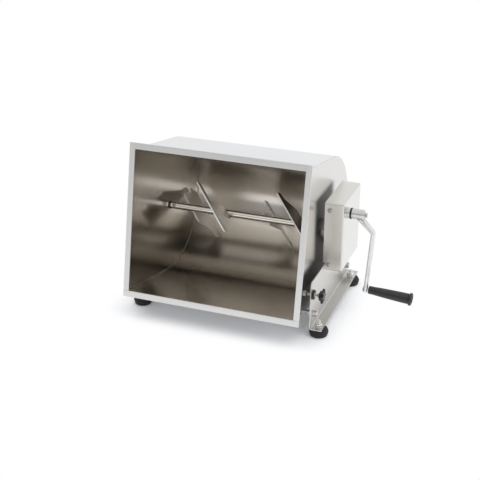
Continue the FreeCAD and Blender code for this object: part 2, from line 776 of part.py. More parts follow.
def make_gearbox():
    start_x = "( stand_gap - cover_lap )"
    shell = block(
        "CoverShell", "cover_face - %s" % start_x, "cover_back - cover_front",
        "cover_top - cover_bottom", start_x, "cover_front", "cover_bottom",
    )
    room = block(
        "CoverRoom", "cover_face - %s - cover_sheet" % start_x,
        "cover_back - cover_front - 2 * cover_sheet",
        "cover_top - cover_bottom - 2 * cover_sheet",
        start_x, "cover_front + cover_sheet", "cover_bottom + cover_sheet",
    )
    boss_hole = bar("CoverBossHole", "boss_spigot", "through", "cover_face - through / 2",
                    CRANK_Y, CRANK_Z)
    step = block(
        "CoverStep", "stand_face - %s" % start_x, "cover_back - cover_front",
        "stand_shoulder + side_gap - cover_bottom", start_x, "cover_front", "cover_bottom",
    )
    holes = [room, boss_hole, step]
    screws = []
    for n, (y, z) in enumerate(cover_screw_spots()):
        front = y == "cover_front"
        holes.append(bar(
            "CoverScrewHole%d" % n, "screw_radius", "through", "screw_x",
            "%s - through / 2" % y, z, "Y",
        ))
        stem_y = y if front else "%s - screw_length" % y
        stem = bar("ScrewStem%d" % n, "screw_radius", "screw_length", "screw_x", stem_y, z, "Y")
        if front:
            head = cone("ScrewHead%d" % n, "screw_head_radius - screw_head_taper",
                        "screw_head_radius", "screw_head", "screw_x", "%s - screw_head" % y, z,
                        "Y")
        else:
            head = cone("ScrewHead%d" % n, "screw_head_radius",
                        "screw_head_radius - screw_head_taper", "screw_head", "screw_x", y, z,
                        "Y")
        screws.append(fuse("Screw%d" % n, [stem, head]))
    piece(cut("Cover", shell, holes), "gearbox_cover")
    piece(group("CoverScrews", screws), "cover_screws")

    spigot = bar("BossSpigot", "boss_spigot", "through / 2", "cover_face - through / 2",
                 CRANK_Y, CRANK_Z)
    collar = bar("BossBody", "boss_radius", "boss_length", "cover_face", CRANK_Y, CRANK_Z)
    bore = bar("BossBore", "crank_radius + running_gap", "boss_length + through",
               "cover_face - through", CRANK_Y, CRANK_Z)
    piece(cut("Boss", fuse("BossBlank", [spigot, collar]), [bore]), "crank_boss")
    bush = tube("CrankBush", "crank_radius + bush_wall", "crank_radius + running_gap",
                "plate_thick + 2 * bush_proud", "stand_gap - bush_proud", CRANK_Y, CRANK_Z)
    piece(bush, "crank_bush")

    lock = tube("LockBush", "lock_bush_radius", "bolt_radius + running_gap", "lock_bush_length",
                "stand_face", "lock_y", "lock_z")
    piece(lock, "lock_bush")


# Crank


def make_crank():
    collar_x = "( cover_face + boss_length + side_gap )"
    hub_x = "( %s + collar_length )" % collar_x
    hub_end = "arm_end_x"
    start = "( stand_gap - bush_proud - shaft_past )"
    shaft = bar("CrankBar", "crank_radius", "%s - arm_hub_web - %s" % (hub_end, start), start,
                CRANK_Y, CRANK_Z)
    pin_x = "gear_x - gear_hub / 2"
    pin_hole = bar("CrankPinHole", "cross_pin_radius", "2 * pinion_hub_radius", pin_x,
                   CRANK_Y, "%s - pinion_hub_radius" % CRANK_Z, "Z")
    tap = bar("CrankTap", "screw_radius", "crank_screw_length",
              "%s - crank_screw_length" % hub_end, CRANK_Y, CRANK_Z)
    piece(cut("CrankShaft", shaft, [pin_hole, tap]), "crank_shaft")
    pinion = gear("PinionTeeth", number("pinion_teeth"), number("gear_width") + 2 * number("side_gap"),
                  90 + number("crank_lean_angle") + 180 / number("pinion_teeth"))
    place(pinion, "gear_x - side_gap", CRANK_Y, CRANK_Z)
    boss = bar("PinionBoss", "pinion_hub_radius", "gear_hub - side_gap", "gear_x - gear_hub",
               CRANK_Y, CRANK_Z)
    bore = bar("PinionBore", "crank_radius", "gear_hub + 2 * gear_width", "gear_x - gear_hub",
               CRANK_Y, CRANK_Z)
    hole = bar("PinionPinHole", "cross_pin_radius", "2 * pinion_hub_radius", pin_x,
               CRANK_Y, "%s - pinion_hub_radius" % CRANK_Z, "Z")
    piece(cut("Pinion", fuse("PinionBlank", [pinion, boss]), [bore, hole]), "pinion_gear")
    pin = bar("PinionPin", "cross_pin_radius", "2 * pinion_hub_radius", pin_x,
              CRANK_Y, "%s - pinion_hub_radius" % CRANK_Z, "Z")
    piece(pin, "pinion_pin")

    collar = tube("CrankCollar", "collar_radius", "crank_radius", "collar_length", collar_x,
                  CRANK_Y, CRANK_Z)
    piece(collar, "crank_collar")
    make_arm(hub_x, hub_end)
    screw_head = hexagon("CrankScrewHead", "crank_screw_flats", "crank_screw_head",
                         "%s + crank_screw_disc" % hub_end, CRANK_Y, CRANK_Z)
    screw_disc = bar("CrankScrewDisc", "washer_radius", "crank_screw_disc", hub_end,
                     CRANK_Y, CRANK_Z)
    screw_stem = bar("CrankScrewStem", "screw_radius", "crank_screw_length",
                     "%s - crank_screw_length" % hub_end, CRANK_Y, CRANK_Z)
    piece(fuse("CrankScrew", [screw_head, screw_disc, screw_stem]), "crank_screw")


# The handle's axis leaves the arm's lower end, square to the arm
HANDLE_X = "( arm_bend_x - ( crank_throw - arm_bend_drop ) * tan(handle_tilt_angle) )"
HANDLE_Z = "( %s - crank_throw )" % CRANK_Z


def make_arm(hub_x, hub_end):
    """A cast arm: it leaves the hub outwards, bends, and runs down to the handle's eye."""
    side = doc.addObject("PartDesign::Body", "ArmSide")
    half = "arm_thick / 2 / cos(handle_tilt_angle)"
    end_drop = "( crank_throw + arm_end_radius )"
    end_x = "( arm_bend_x - ( %s - arm_bend_drop ) * tan(handle_tilt_angle) )" % end_drop
    corners = [
        ("%s - arm_root" % hub_end, "0 - arm_root_low"),
        ("%s - arm_root" % hub_end, "arm_root_top"),
        (hub_end, "arm_root_top"),
        (hub_end, "0 - washer_radius - side_gap"),
        ("arm_bend_x + %s" % half, "0 - arm_bend_drop"),
        ("%s + %s" % (end_x, half), "0 - %s" % end_drop),
        ("%s - %s" % (end_x, half), "0 - %s" % end_drop),
        ("arm_bend_x - %s" % half, "0 - arm_bend_drop"),
    ]
    pad(side, "ArmSidePad", outline(side, "ArmSideOutline", "XZ_Plane", corners),
        "2 * collar_radius", midplane=True)
    front = doc.addObject("PartDesign::Body", "ArmFront")
    corners = [
        ("0 - arm_hub_radius", "0"),
        ("arm_hub_radius", "0"),
        ("arm_end_radius", "0 - crank_throw"),
        ("0 - arm_end_radius", "0 - crank_throw"),
    ]
    pad(front, "ArmFrontPad", outline(front, "ArmFrontOutline", "YZ_Plane", corners),
        "%s + arm_root * 6" % hub_end)
    eye = bar("ArmEye", "arm_end_radius", "%s + arm_root * 6" % hub_end, "0", "0", "0 - crank_throw")
    head = bar("ArmHead", "arm_hub_radius", "%s + arm_root * 6" % hub_end, "0")
    face = fuse("ArmFace", [front, eye, head])
    blade = doc.addObject("Part::Common", "ArmBlade")
    blade.Base = side
    blade.Tool = face
    hub = bar("ArmHub", "arm_hub_radius", "%s - %s" % (hub_end, hub_x), hub_x)
    whole = place(fuse("ArmWhole", [blade, hub]), "0", CRANK_Y, CRANK_Z)
    bore = bar("ArmBore", "crank_radius", "%s - %s - arm_hub_web" % (hub_end, hub_x), hub_x,
               CRANK_Y, CRANK_Z)
    tap = bar("ArmTap", "screw_radius", "arm_hub_length + arm_root", hub_x, CRANK_Y, CRANK_Z)
    pin_hole = bar("ArmPinHole", "pin_radius", "4 * arm_thick")
    pin_hole.Placement.Rotation = FreeCAD.Rotation(
        FreeCAD.Vector(0, 1, 0), 90 + number("handle_tilt_angle")
    )
    place(pin_hole, "%s - 2 * arm_thick * cos(handle_tilt_angle)" % HANDLE_X, CRANK_Y,
          "%s + 2 * arm_thick * sin(handle_tilt_angle)" % HANDLE_Z)
    piece(cut("CrankArm", whole, [bore, tap, pin_hole]), "crank_arm")


def tilted(thing):
    """Sets a piece built along X from zero onto the handle's axis."""
    thing.Placement.Rotation = FreeCAD.Rotation(FreeCAD.Vector(0, 1, 0), number("handle_tilt_angle"))
    return place(thing, HANDLE_X, CRANK_Y, HANDLE_Z)


def make_handle():
    start = "( arm_thick / 2 + grip_gap )"
    end = "( %s + grip_length )" % start
    stem = bar("PinStem", "pin_radius", "%s - grip_recess + pin_end_gap + arm_thick / 2" % end,
               "0 - arm_thick / 2")
    rivet = bar("PinRivet", "pin_radius + pin_rivet", "pin_rivet", "0 - arm_thick / 2 - pin_rivet")
    cap = bar("PinCap", "pin_cap_radius", "pin_cap_thick", "%s - grip_recess + pin_end_gap" % end)
    pin = group("PinWhole", [tilted(fuse("PinBody", [stem, rivet, cap]))])
    piece(pin, "handle_pin")

    body = doc.addObject("PartDesign::Body", "Grip")
    bore = "pin_radius + grip_bore_gap"
    lip_start = "%s - grip_lip_width" % end
    profile = [
        (start, bore),
        (start, "grip_near_radius - grip_edge"),
        ("%s + grip_edge" % start, "grip_near_radius"),
        ("%s + grip_straight" % start, "grip_near_radius"),
        ("%s - grip_neck" % lip_start, "grip_far_radius"),
        (lip_start, "grip_far_radius"),
        ("%s + grip_edge" % lip_start, "grip_lip_radius"),
        ("%s - 2 * grip_edge" % end, "grip_lip_radius"),
        (end, "grip_lip_radius - 2 * grip_edge"),
        (end, "pin_cap_radius + grip_edge"),
        ("%s - grip_recess" % end, "pin_cap_radius + grip_edge"),
        ("%s - grip_recess" % end, bore),
    ]
    sketch = outline(body, "GripOutline", "XZ_Plane", profile)
    turned = body.newObject("PartDesign::Revolution", "GripTurned")
    turned.Profile = sketch
    turned.ReferenceAxis = (datum(body, "X_Axis"), [""])
    turned.Angle = 360
    doc.recompute()
    piece(group("GripWhole", [tilted(body)]), "handle_grip")


# Lock knob


def make_lock():
    tip = "( tank_half + lock_boss_thick + lock_clear )"
    stud = bar("LockStudBar", "bolt_radius", "knob_x + knob_socket - %s" % tip, tip, "lock_y", "lock_z")
    piece(stud, "lock_stud")
    core = bar("KnobCore", "knob_core_radius", "knob_length", "knob_x", "lock_y", "lock_z")
    neck = cone("KnobNeck", "bolt_radius + knob_neck", "bolt_radius + 1.5 * knob_neck",
                "knob_neck", "knob_x - knob_neck", "lock_y", "lock_z", "X")
    parts = [core, neck]
    lobes = int(number("knob_lobes"))
    for lobe in range(lobes):
        angle = 360.0 * lobe / lobes
        parts.append(bar(
            "KnobLobe%d" % lobe, "knob_lobe_radius", "knob_length - knob_shoulder",
            "knob_x + knob_shoulder",
            "lock_y + knob_core_radius * cos(%s)" % angle,
            "lock_z + knob_core_radius * sin(%s)" % angle,
        ))
    hole = bar("KnobHole", "bolt_radius", "knob_neck + knob_socket", "knob_x - knob_neck",
               "lock_y", "lock_z")
    piece(cut("Knob", fuse("KnobBlank", parts), [hole]), "lock_knob")


make_tank()
make_agitator()
make_stands()
make_gearbox()
make_crank()
make_handle()
make_lock()
doc.recompute()

# Nothing is written unless every object came out whole

for thing in doc.Objects:
    if "Invalid" in thing.State or "Error" in thing.State:
        raise RuntimeError("%s did not build: %s" % (thing.Label, thing.State))
for thing in PIECES:
    if thing.Shape.isNull() or not thing.Shape.isValid():
        raise RuntimeError("%s has no sound shape" % thing.Label)

os.makedirs("parts", exist_ok=True)
total = FreeCAD.BoundBox()
for thing in PIECES:
    thing.Shape.exportStep("parts/%s.step" % thing.Label)
    total.add(thing.Shape.BoundBox)
    print("%-20s solids %d  volume %.1f" % (thing.Label, len(thing.Shape.Solids), thing.Shape.Volume))
print("pieces %d" % len(PIECES))
print("box X %.2f %.2f  Y %.2f %.2f  Z %.2f %.2f" % (
    total.XMin, total.XMax, total.YMin, total.YMax, total.ZMin, total.ZMax
))
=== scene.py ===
import json
import math

import bmesh
import bpy
from mathutils import Matrix, Vector


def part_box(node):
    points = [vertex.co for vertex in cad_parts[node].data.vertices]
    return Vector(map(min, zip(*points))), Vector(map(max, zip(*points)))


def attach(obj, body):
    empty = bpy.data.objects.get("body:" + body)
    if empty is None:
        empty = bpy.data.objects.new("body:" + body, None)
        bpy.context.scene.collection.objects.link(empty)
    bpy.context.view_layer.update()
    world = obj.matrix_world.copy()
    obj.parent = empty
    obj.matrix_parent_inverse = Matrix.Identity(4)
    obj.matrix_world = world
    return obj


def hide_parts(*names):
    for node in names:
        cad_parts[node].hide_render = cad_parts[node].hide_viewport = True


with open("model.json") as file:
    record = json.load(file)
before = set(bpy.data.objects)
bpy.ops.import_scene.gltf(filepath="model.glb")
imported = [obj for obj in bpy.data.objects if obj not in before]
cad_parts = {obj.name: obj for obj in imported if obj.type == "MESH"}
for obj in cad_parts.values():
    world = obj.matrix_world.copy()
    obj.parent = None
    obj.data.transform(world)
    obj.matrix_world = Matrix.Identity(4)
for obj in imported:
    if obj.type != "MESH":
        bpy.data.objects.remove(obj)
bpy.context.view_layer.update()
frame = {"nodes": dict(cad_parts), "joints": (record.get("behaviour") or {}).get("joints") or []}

# Tank wrap
# One stainless sheet bent into a U: two flat sides that run into a half-round trough. Fine
# lines from rolling run along the shaft and smear what the sheet mirrors that way, so the
# bands across the trough stay crisp. Its colour is painted darker towards the bottom, as
# painted shade.

MM = 0.001
JOINTS = {joint["name"]: joint for joint in frame["joints"]}
SHAFT = Vector(JOINTS["tank_tilt"]["pos_m"])
LEVEL = Matrix.Translation(SHAFT) @ Matrix.Scale(MM, 4)
TIP_ANGLE = 11.4
TIPPED = LEVEL @ Matrix.Rotation(math.radians(-TIP_ANGLE), 4, "X")

TANK_SHEET = 1.5
TANK_HALF = 189.0
MOUTH_DEPTH = 204.0
RIM_THICK = 3.0
TROUGH_OFFSET = 10.0
TROUGH_RADIUS = 157.0
ALONG_SHAFT = (9.0, 900.0, 900.0)
TROUGH_PAINTED_SHADE = (-135.0, -65.0, 0.55)
SCRATCH_DEPTH = 0.00002


def laid_out(name, shape):
    """Puts a bmesh into an object of its own."""
    mesh = bpy.data.meshes.new(name)
    shape.to_mesh(mesh)
    shape.free()
    thing = bpy.data.objects.new(name, mesh)
    bpy.context.scene.collection.objects.link(thing)
    return thing


def smooth(mesh, crease=32):
    """Shades a mesh smooth, but for edges that turn by more degrees than the crease."""
    mesh.shade_smooth()
    mesh.set_sharp_from_angle(angle=math.radians(crease))


def take_away(thing):
    """Removes an object that has done its work, with its mesh."""
    mesh = thing.data
    bpy.data.objects.remove(thing)
    bpy.data.meshes.remove(mesh)


def worked_in(thing):
    """Gives an object's mesh with its modifiers worked in, and takes the object away."""
    bpy.context.view_layer.update()
    graph = bpy.context.evaluated_depsgraph_get()
    mesh = bpy.data.meshes.new_from_object(
        thing.evaluated_get(graph), preserve_all_data_layers=True, depsgraph=graph
    )
    take_away(thing)
    return mesh


def hand_over(name, mesh, body, stands_for):
    """Makes a finished mesh a piece of the object and lets it ride on its body."""
    mesh.name = name
    piece = bpy.data.objects.new(name, mesh)
    bpy.context.scene.collection.objects.link(piece)
    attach(piece, body)
    if stands_for:
        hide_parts(*stands_for)
    return piece


def settle(name, shape, place, body, finish, stands_for, crease=32):
    """Makes a piece of a bmesh drawn in millimetres. Its flat faces keep flat normals."""
    shape.transform(place)
    draft = laid_out(name, shape)
    smooth(draft.data, crease)
    even = draft.modifiers.new("Even normals", "WEIGHTED_NORMAL")
    even.weight = 100
    even.keep_sharp = True
    mesh = worked_in(draft)
    mesh.materials.append(finish)
    return hand_over(name, mesh, body, stands_for)


def new_material(name):
    """A material with its node tree, its shader and the coordinates for its patterns."""
    material = bpy.data.materials.new(name)
    material.use_nodes = True
    tree = material.node_tree
    place = tree.nodes.new("ShaderNodeTexCoord")
    return material, tree, tree.nodes["Principled BSDF"], place.outputs["Object"]


def noise(tree, where, scale, detail, rough=0.5):
    """A cloudy pattern at the given coordinates."""
    clouds = tree.nodes.new("ShaderNodeTexNoise")
    clouds.inputs["Scale"].default_value = scale
    clouds.inputs["Detail"].default_value = detail
    clouds.inputs["Roughness"].default_value = rough
    tree.links.new(where, clouds.inputs["Vector"])
    return clouds.outputs["Fac"]


def ranged(tree, value, taken, given=(0.0, 1.0), eased_in=False):
    """Turns the range that a value is taken from into the range that is given."""
    span = tree.nodes.new("ShaderNodeMapRange")
    if eased_in:
        span.interpolation_type = "SMOOTHSTEP"
    for label, end in zip(("From Min", "From Max", "To Min", "To Max"), (*taken, *given)):
        span.inputs[label].default_value = end
    tree.links.new(value, span.inputs["Value"])
    return span.outputs["Result"]


def dented(tree, height, strength, depth):
    """The normals of a surface that a pattern raises by up to the given depth."""
    bump = tree.nodes.new("ShaderNodeBump")
    bump.inputs["Strength"].default_value = strength
    bump.inputs["Distance"].default_value = depth
    tree.links.new(height, bump.inputs["Height"])
    return bump.outputs["Normal"]


def steel(name, colour, rough, grain, smear=0.0, spread=0.05, tint=0.03, relief=0.25,
          metal=1.0, painted_shade_below=None):
    """Worked stainless. grain gives how fast the scratches change along X, Y and Z, per metre.
    spread is how much the gloss varies, tint how much the colour does, and relief how strongly
    the scratches bend what is mirrored. The last argument paints shade: it gives two heights from
    the shaft, and the share of its brightness that the colour keeps below the lower one, so the
    colour grows darker towards the bottom."""
    material, tree, shader, place = new_material(name)
    shader.inputs["Metallic"].default_value = metal
    shader.inputs["Anisotropic"].default_value = smear
    stretch = tree.nodes.new("ShaderNodeMapping")
    stretch.inputs["Scale"].default_value = grain
    tree.links.new(place, stretch.inputs["Vector"])
    scratches = noise(tree, stretch.outputs["Vector"], 1.0, 3.0)
    smudges = noise(tree, place, 14.0, 4.0, 0.6)
    both = tree.nodes.new("ShaderNodeMath")
    both.operation = "ADD"
    tree.links.new(scratches, both.inputs[0])
    tree.links.new(smudges, both.inputs[1])
    gloss = ranged(tree, both.outputs["Value"], (0.6, 1.4), (rough - spread, rough + spread))
    tree.links.new(gloss, shader.inputs["Roughness"])
    shades = tree.nodes.new("ShaderNodeMapRange")
    shades.data_type = "FLOAT_VECTOR"
    shades.inputs["From Min"].default_value = (0.3, 0.3, 0.3)
    shades.inputs["From Max"].default_value = (0.7, 0.7, 0.7)
    shades.inputs["To Min"].default_value = [max(0.0, part - tint) for part in colour]
    shades.inputs["To Max"].default_value = [min(1.0, part + tint) for part in colour]
    tree.links.new(scratches, shades.inputs["Vector"])
    shade = shades.outputs["Vector"]
    # Painted shade: below the lower height the colour is darkened towards the bottom.
    if painted_shade_below:
        low, high, kept = painted_shade_below
        height = tree.nodes.new("ShaderNodeSeparateXYZ")
        tree.links.new(place, height.inputs["Vector"])
        painted_shade = ranged(
            tree, height.outputs["Z"], (SHAFT.z + low * MM, SHAFT.z + high * MM), (kept, 1.0),
            eased_in=True,
        )
        shade_darkened = tree.nodes.new("ShaderNodeVectorMath")
        shade_darkened.operation = "SCALE"
        tree.links.new(shade, shade_darkened.inputs["Vector"])
        tree.links.new(painted_shade, shade_darkened.inputs["Scale"])
        shade = shade_darkened.outputs["Vector"]
    tree.links.new(shade, shader.inputs["Base Color"])
    tree.links.new(dented(tree, scratches, relief, SCRATCH_DEPTH), shader.inputs["Normal"])
    if smear:
        along = tree.nodes.new("ShaderNodeTangent")
        along.direction_type = "UV_MAP"
        along.uv_map = "Smear"
        tree.links.new(along.outputs["Tangent"], shader.inputs["Tangent"])
    return material


def smear_along(piece, place, lay):
    """Lays the UV map that tells the finish which way it smears: the way that U grows."""
    local = place.inverted()
    layer = piece.data.uv_layers.new(name="Smear")
    for loop in piece.data.loops:
        spot = local @ piece.data.vertices[loop.vertex_index].co
        layer.data[loop.index].uv = lay(spot / 100)


def round_the_trough(spot):
    """U runs along the shaft, V from the bottom front edge up the back to the top front edge."""
    offset = TROUGH_OFFSET / 100
    radius = TROUGH_RADIUS / 100
    if spot.y > offset:
        return spot.x, radius * math.atan2(spot.y - offset, -spot.z)
    if spot.z < 0:
        return spot.x, spot.y - offset
    return spot.x, radius * math.pi + offset - spot.y


def trough_line(radius, front, steps=72):
    """The U as (back, up) points from the top front edge round to the bottom front edge."""
    line = [(-front, radius)]
    for step in range(steps + 1):
        turn = math.pi / 2 - math.pi * step / steps
        line.append((TROUGH_OFFSET + radius * math.cos(turn), radius * math.sin(turn)))
    line.append((-front, -radius))
    return line


def joined(shape, rings):
    """Faces from each ring of points to the next."""
    for one, two in zip(rings, rings[1:]):
        for step in range(len(one)):
            after = (step + 1) % len(one)
            shape.faces.new((one[step], one[after], two[after], two[step]))


def swept_sheet(outer, inner, half):
    """A sheet between two like lines, as long as twice half along X."""
    shape = bmesh.new()
    rows = []
    for (y, z), (y_in, z_in) in zip(outer, inner):
        corners = ((-half, y, z), (half, y, z), (half, y_in, z_in), (-half, y_in, z_in))
        rows.append([shape.verts.new(spot) for spot in corners])
    joined(shape, rows)
    shape.faces.new(rows[0])
    shape.faces.new(reversed(rows[-1]))
    bmesh.ops.recalc_face_normals(shape, faces=shape.faces)
    return shape


# Painted shade: the trough's inner colour darkens towards the bottom.
tank_steel = steel(
    "Polished trough steel", (0.79, 0.75, 0.695), rough=0.24, grain=ALONG_SHAFT, smear=0.85,
    spread=0.015, tint=0.015, relief=0.06, painted_shade_below=TROUGH_PAINTED_SHADE,
)
satin_steel = steel(
    "Satin outer steel", (0.80, 0.805, 0.81), rough=0.33, grain=ALONG_SHAFT, smear=0.6,
    spread=0.03, tint=0.015, relief=0.1,
)
wall_front = MOUTH_DEPTH - RIM_THICK
wrap_shape = swept_sheet(
    trough_line(TROUGH_RADIUS, wall_front),
    trough_line(TROUGH_RADIUS - TANK_SHEET, wall_front),
    TANK_HALF - TANK_SHEET,
)
tank_wrap = settle(
    "tank_wrap_sheet", wrap_shape, TIPPED, "tank", tank_steel, ["tank_wrap"],
)
smear_along(tank_wrap, TIPPED, round_the_trough)
tank_wrap.data.materials.append(satin_steel)
sheet_middle = TROUGH_RADIUS - TANK_SHEET / 2
for face in tank_wrap.data.polygons:
    spot = TIPPED.inverted() @ face.center
    if Vector((max(0.0, spot.y - TROUGH_OFFSET), spot.z)).length > sheet_middle:
        face.material_index = 1


# Tank ends
# Two flat plates of the same sheet, cut to the U, set on the ends of the wrap and welded all
# round. The right one carries the drive side. Their grain runs from the mouth to the back,
# and their colour inside is painted darker towards the bottom like the trough's, as painted
# shade.

END_EDGE = 0.6
TO_THE_BACK = (9.0, 9.0, 900.0)
ENDS_PAINTED_SHADE = (-115.0, -20.0, 0.78)
# Painted shade: the end plates' inner colour darkens towards the bottom.
end_steel = steel(
    "Polished end plate steel", (0.715, 0.683, 0.632), rough=0.17, grain=TO_THE_BACK, smear=0.55,
    spread=0.015, tint=0.02, relief=0.06, painted_shade_below=ENDS_PAINTED_SHADE,
)
satin_end = steel(
    "Satin end plate steel", (0.73, 0.72, 0.705), rough=0.25, grain=TO_THE_BACK, smear=0.3,
    spread=0.02, tint=0.015, relief=0.06,
)


def soften(shape, width, steps=2, sharper_than=40):
    """Rounds every edge of a bmesh that turns by more than the given angle."""
    limit = math.radians(sharper_than)
    edges = [
        edge for edge in shape.edges
        if len(edge.link_faces) == 2 and edge.calc_face_angle(0) > limit
    ]
    bmesh.ops.bevel(
        shape, geom=edges, offset=width, segments=steps, profile=0.5, affect="EDGES",
        clamp_overlap=True,
    )
    return shape


def drawn_out(outline, way):
    """A plate: a flat outline of (x, y, z) points, drawn out the given way."""
    shape = bmesh.new()
    face = shape.faces.new([shape.verts.new(spot) for spot in outline])
    grown = bmesh.ops.extrude_face_region(shape, geom=[face])
    moved = [item for item in grown["geom"] if isinstance(item, bmesh.types.BMVert)]
    bmesh.ops.translate(shape, verts=moved, vec=way)
    bmesh.ops.recalc_face_normals(shape, faces=shape.faces)
    return shape


def end_plate(name, start, node):
    """One end wall from start on, polished inside and satin outside."""
    outline = [(start, y, z) for y, z in trough_line(TROUGH_RADIUS, wall_front)]
    shape = soften(drawn_out(outline, (TANK_SHEET, 0, 0)), END_EDGE)
    piece = settle(name, shape, TIPPED, "tank", end_steel, [node])
    smear_along(piece, TIPPED, lambda spot: (spot.z, spot.y))
    piece.data.materials.append(satin_end)
    middle = (TANK_HALF - TANK_SHEET / 2) * MM
    for face in piece.data.polygons:
        if abs(face.center.x - SHAFT.x) > middle:
            face.material_index = 1


end_plate("tank_end_plate_left", -TANK_HALF, "tank_end_left")
end_plate("tank_end_plate_right", TANK_HALF - TANK_SHEET, "tank_end_right")


# Weld seams
# The wrap is welded to each end from inside, and the weld is dressed to a narrow bright
# fillet that follows the U.

SEAM_RADIUS = 1.3
SEAM_INSET = 0.3
SEAM_SHORT = 1.0
bright_weld = steel(
    "Dressed weld", (0.60, 0.575, 0.535), rough=0.32, grain=(300.0, 300.0, 300.0), spread=0.08,
    tint=0.04,
)


def new_tree(name, inputs):
    """A geometry nodes tree with the given inputs. Its result takes one finish."""
    tree = bpy.data.node_groups.new(name, "GeometryNodeTree")
    kinds = (("Geometry", "Geometry"), *inputs, ("Finish", "Material"))
    for label, kind in kinds:
        tree.interface.new_socket(label, in_out="INPUT", socket_type="NodeSocket" + kind)
    tree.interface.new_socket(
        "Geometry", in_out="OUTPUT", socket_type="NodeSocketGeometry"
    )
    return tree, tree.nodes.new("NodeGroupInput")


def end_tree(tree, given, made):
    """Ends a tree: what it has made becomes real faces with their finish."""
    real = tree.nodes.new("GeometryNodeRealizeInstances")
    tree.links.new(made, real.inputs["Geometry"])
    coat = tree.nodes.new("GeometryNodeSetMaterial")
    tree.links.new(real.outputs["Geometry"], coat.inputs["Geometry"])
    tree.links.new(given.outputs["Finish"], coat.inputs["Material"])
    result = tree.nodes.new("NodeGroupOutput")
    tree.links.new(coat.outputs["Geometry"], result.inputs["Geometry"])


def bead_tree():
    """Geometry nodes: a round bead of slightly uneven thickness along the edges it is given."""
    tree, given = new_tree(
        "Weld bead", (("Bead radius", "Float"), ("Unevenness", "Float"), ("Step", "Float"))
    )
    nodes = tree.nodes
    links = tree.links
    curve = nodes.new("GeometryNodeMeshToCurve")
    links.new(given.outputs["Geometry"], curve.inputs["Mesh"])
    even = nodes.new("GeometryNodeResampleCurve")
    even.mode = "LENGTH"
    links.new(curve.outputs["Curve"], even.inputs["Curve"])
    links.new(given.outputs["Step"], even.inputs["Length"])
    ripple = nodes.new("ShaderNodeTexNoise")
    ripple.inputs["Scale"].default_value = 220.0
    swing = nodes.new("ShaderNodeMath")
    swing.operation = "SUBTRACT"
    swing.inputs[1].default_value = 0.5
    links.new(ripple.outputs["Fac"], swing.inputs[0])
    share = nodes.new("ShaderNodeMath")
    share.operation = "MULTIPLY_ADD"
    share.inputs[2].default_value = 1.0
    links.new(swing.outputs["Value"], share.inputs[0])
    links.new(given.outputs["Unevenness"], share.inputs[1])
    circle = nodes.new("GeometryNodeCurvePrimitiveCircle")
    circle.inputs["Resolution"].default_value = 10
    links.new(given.outputs["Bead radius"], circle.inputs["Radius"])
    tube = nodes.new("GeometryNodeCurveToMesh")
    tube.inputs["Fill Caps"].default_value = True
    links.new(even.outputs["Curve"], tube.inputs["Curve"])
    links.new(circle.outputs["Curve"], tube.inputs["Profile Curve"])
    links.new(share.outputs["Value"], tube.inputs["Scale"])
    shaded = nodes.new("GeometryNodeSetShadeSmooth")
    links.new(tube.outputs["Mesh"], shaded.inputs["Geometry"])
    end_tree(tree, given, shaded.outputs["Geometry"])
    return tree


BEAD_TREE = bead_tree()


def grown_on(holder, tree, values):
    """Sets a tree's named inputs on an object, and gives its result as a plain mesh."""
    modifier = holder.modifiers.new(tree.name, "NODES")
    modifier.node_group = tree
    for item in tree.interface.items_tree:
        if item.in_out == "INPUT" and item.name in values:
            modifier[item.identifier] = values[item.name]
    return worked_in(holder)


def wire(name, spots, edges):
    """An object of bare points and edges, for a tree to build on."""
    mesh = bpy.data.meshes.new(name)
    mesh.from_pydata(spots, edges, [])
    thing = bpy.data.objects.new(name, mesh)
    bpy.context.scene.collection.objects.link(thing)
    return thing


def bead(name, lines, radius, place, body, unevenness, step):
    """A weld bead along each of the given lines of points, in millimetres."""
    spots = []
    edges = []
    for line in lines:
        first = len(spots)
        spots += [place @ Vector(spot) for spot in line]
        edges += [(first + at, first + at + 1) for at in range(len(line) - 1)]
    made = grown_on(wire(name, spots, edges), BEAD_TREE, {
        "Bead radius": radius * MM, "Unevenness": unevenness, "Step": step * MM,
        "Finish": bright_weld,
    })
    hand_over(name, made, body, [])


seam_line = trough_line(TROUGH_RADIUS - TANK_SHEET - SEAM_INSET, wall_front - SEAM_SHORT)
seam_x = TANK_HALF - TANK_SHEET - SEAM_INSET
bead(
    "tank_weld_seams", [[(side * seam_x, y, z) for y, z in seam_line] for side in (-1, 1)],
    SEAM_RADIUS, TIPPED, "tank", unevenness=0.2, step=4.0,
)


# Rim
# A flat frame of four strips, butted at the corners and welded round the mouth. The strips
# are brushed along their length and their edges are broken.

RIM_SIDE = 11.0
RIM_EDGE = 12.0
RIM_GAP = 0.12
RIM_BROKEN = 0.5
rim_steel = steel(
    "Brushed rim steel", (0.85, 0.85, 0.84), rough=0.38, grain=(500.0, 500.0, 12.0),
)
rim_steel_across = steel(
    "Brushed rim steel, lengthways", (0.83, 0.83, 0.82), rough=0.36, grain=(12.0, 500.0, 500.0),
)
rim_out_x = TANK_HALF + RIM_SIDE
rim_out_z = TROUGH_RADIUS + RIM_EDGE
rim_in_x = TANK_HALF - TANK_SHEET
rim_in_z = TROUGH_RADIUS - TANK_SHEET


def merge(shape, part, place=None):
    """Moves a bmesh's contents into another one."""
    if place is not None:
        part.transform(place)
    mesh = bpy.data.meshes.new("part")
    part.to_mesh(mesh)
    part.free()
    shape.from_mesh(mesh)
    bpy.data.meshes.remove(mesh)


def block(low, high):
    """A box between two corners."""
    shape = bmesh.new()
    bmesh.ops.create_cube(shape, size=1.0)
    bmesh.ops.scale(shape, vec=[b - a for a, b in zip(low, high)], verts=shape.verts)
    bmesh.ops.translate(shape, vec=[(a + b) / 2 for a, b in zip(low, high)], verts=shape.verts)
    return shape


def strip(shape, low, high):
    """Adds one strip of the rim to a bmesh."""
    merge(shape, soften(block(low, high), RIM_BROKEN, steps=3))


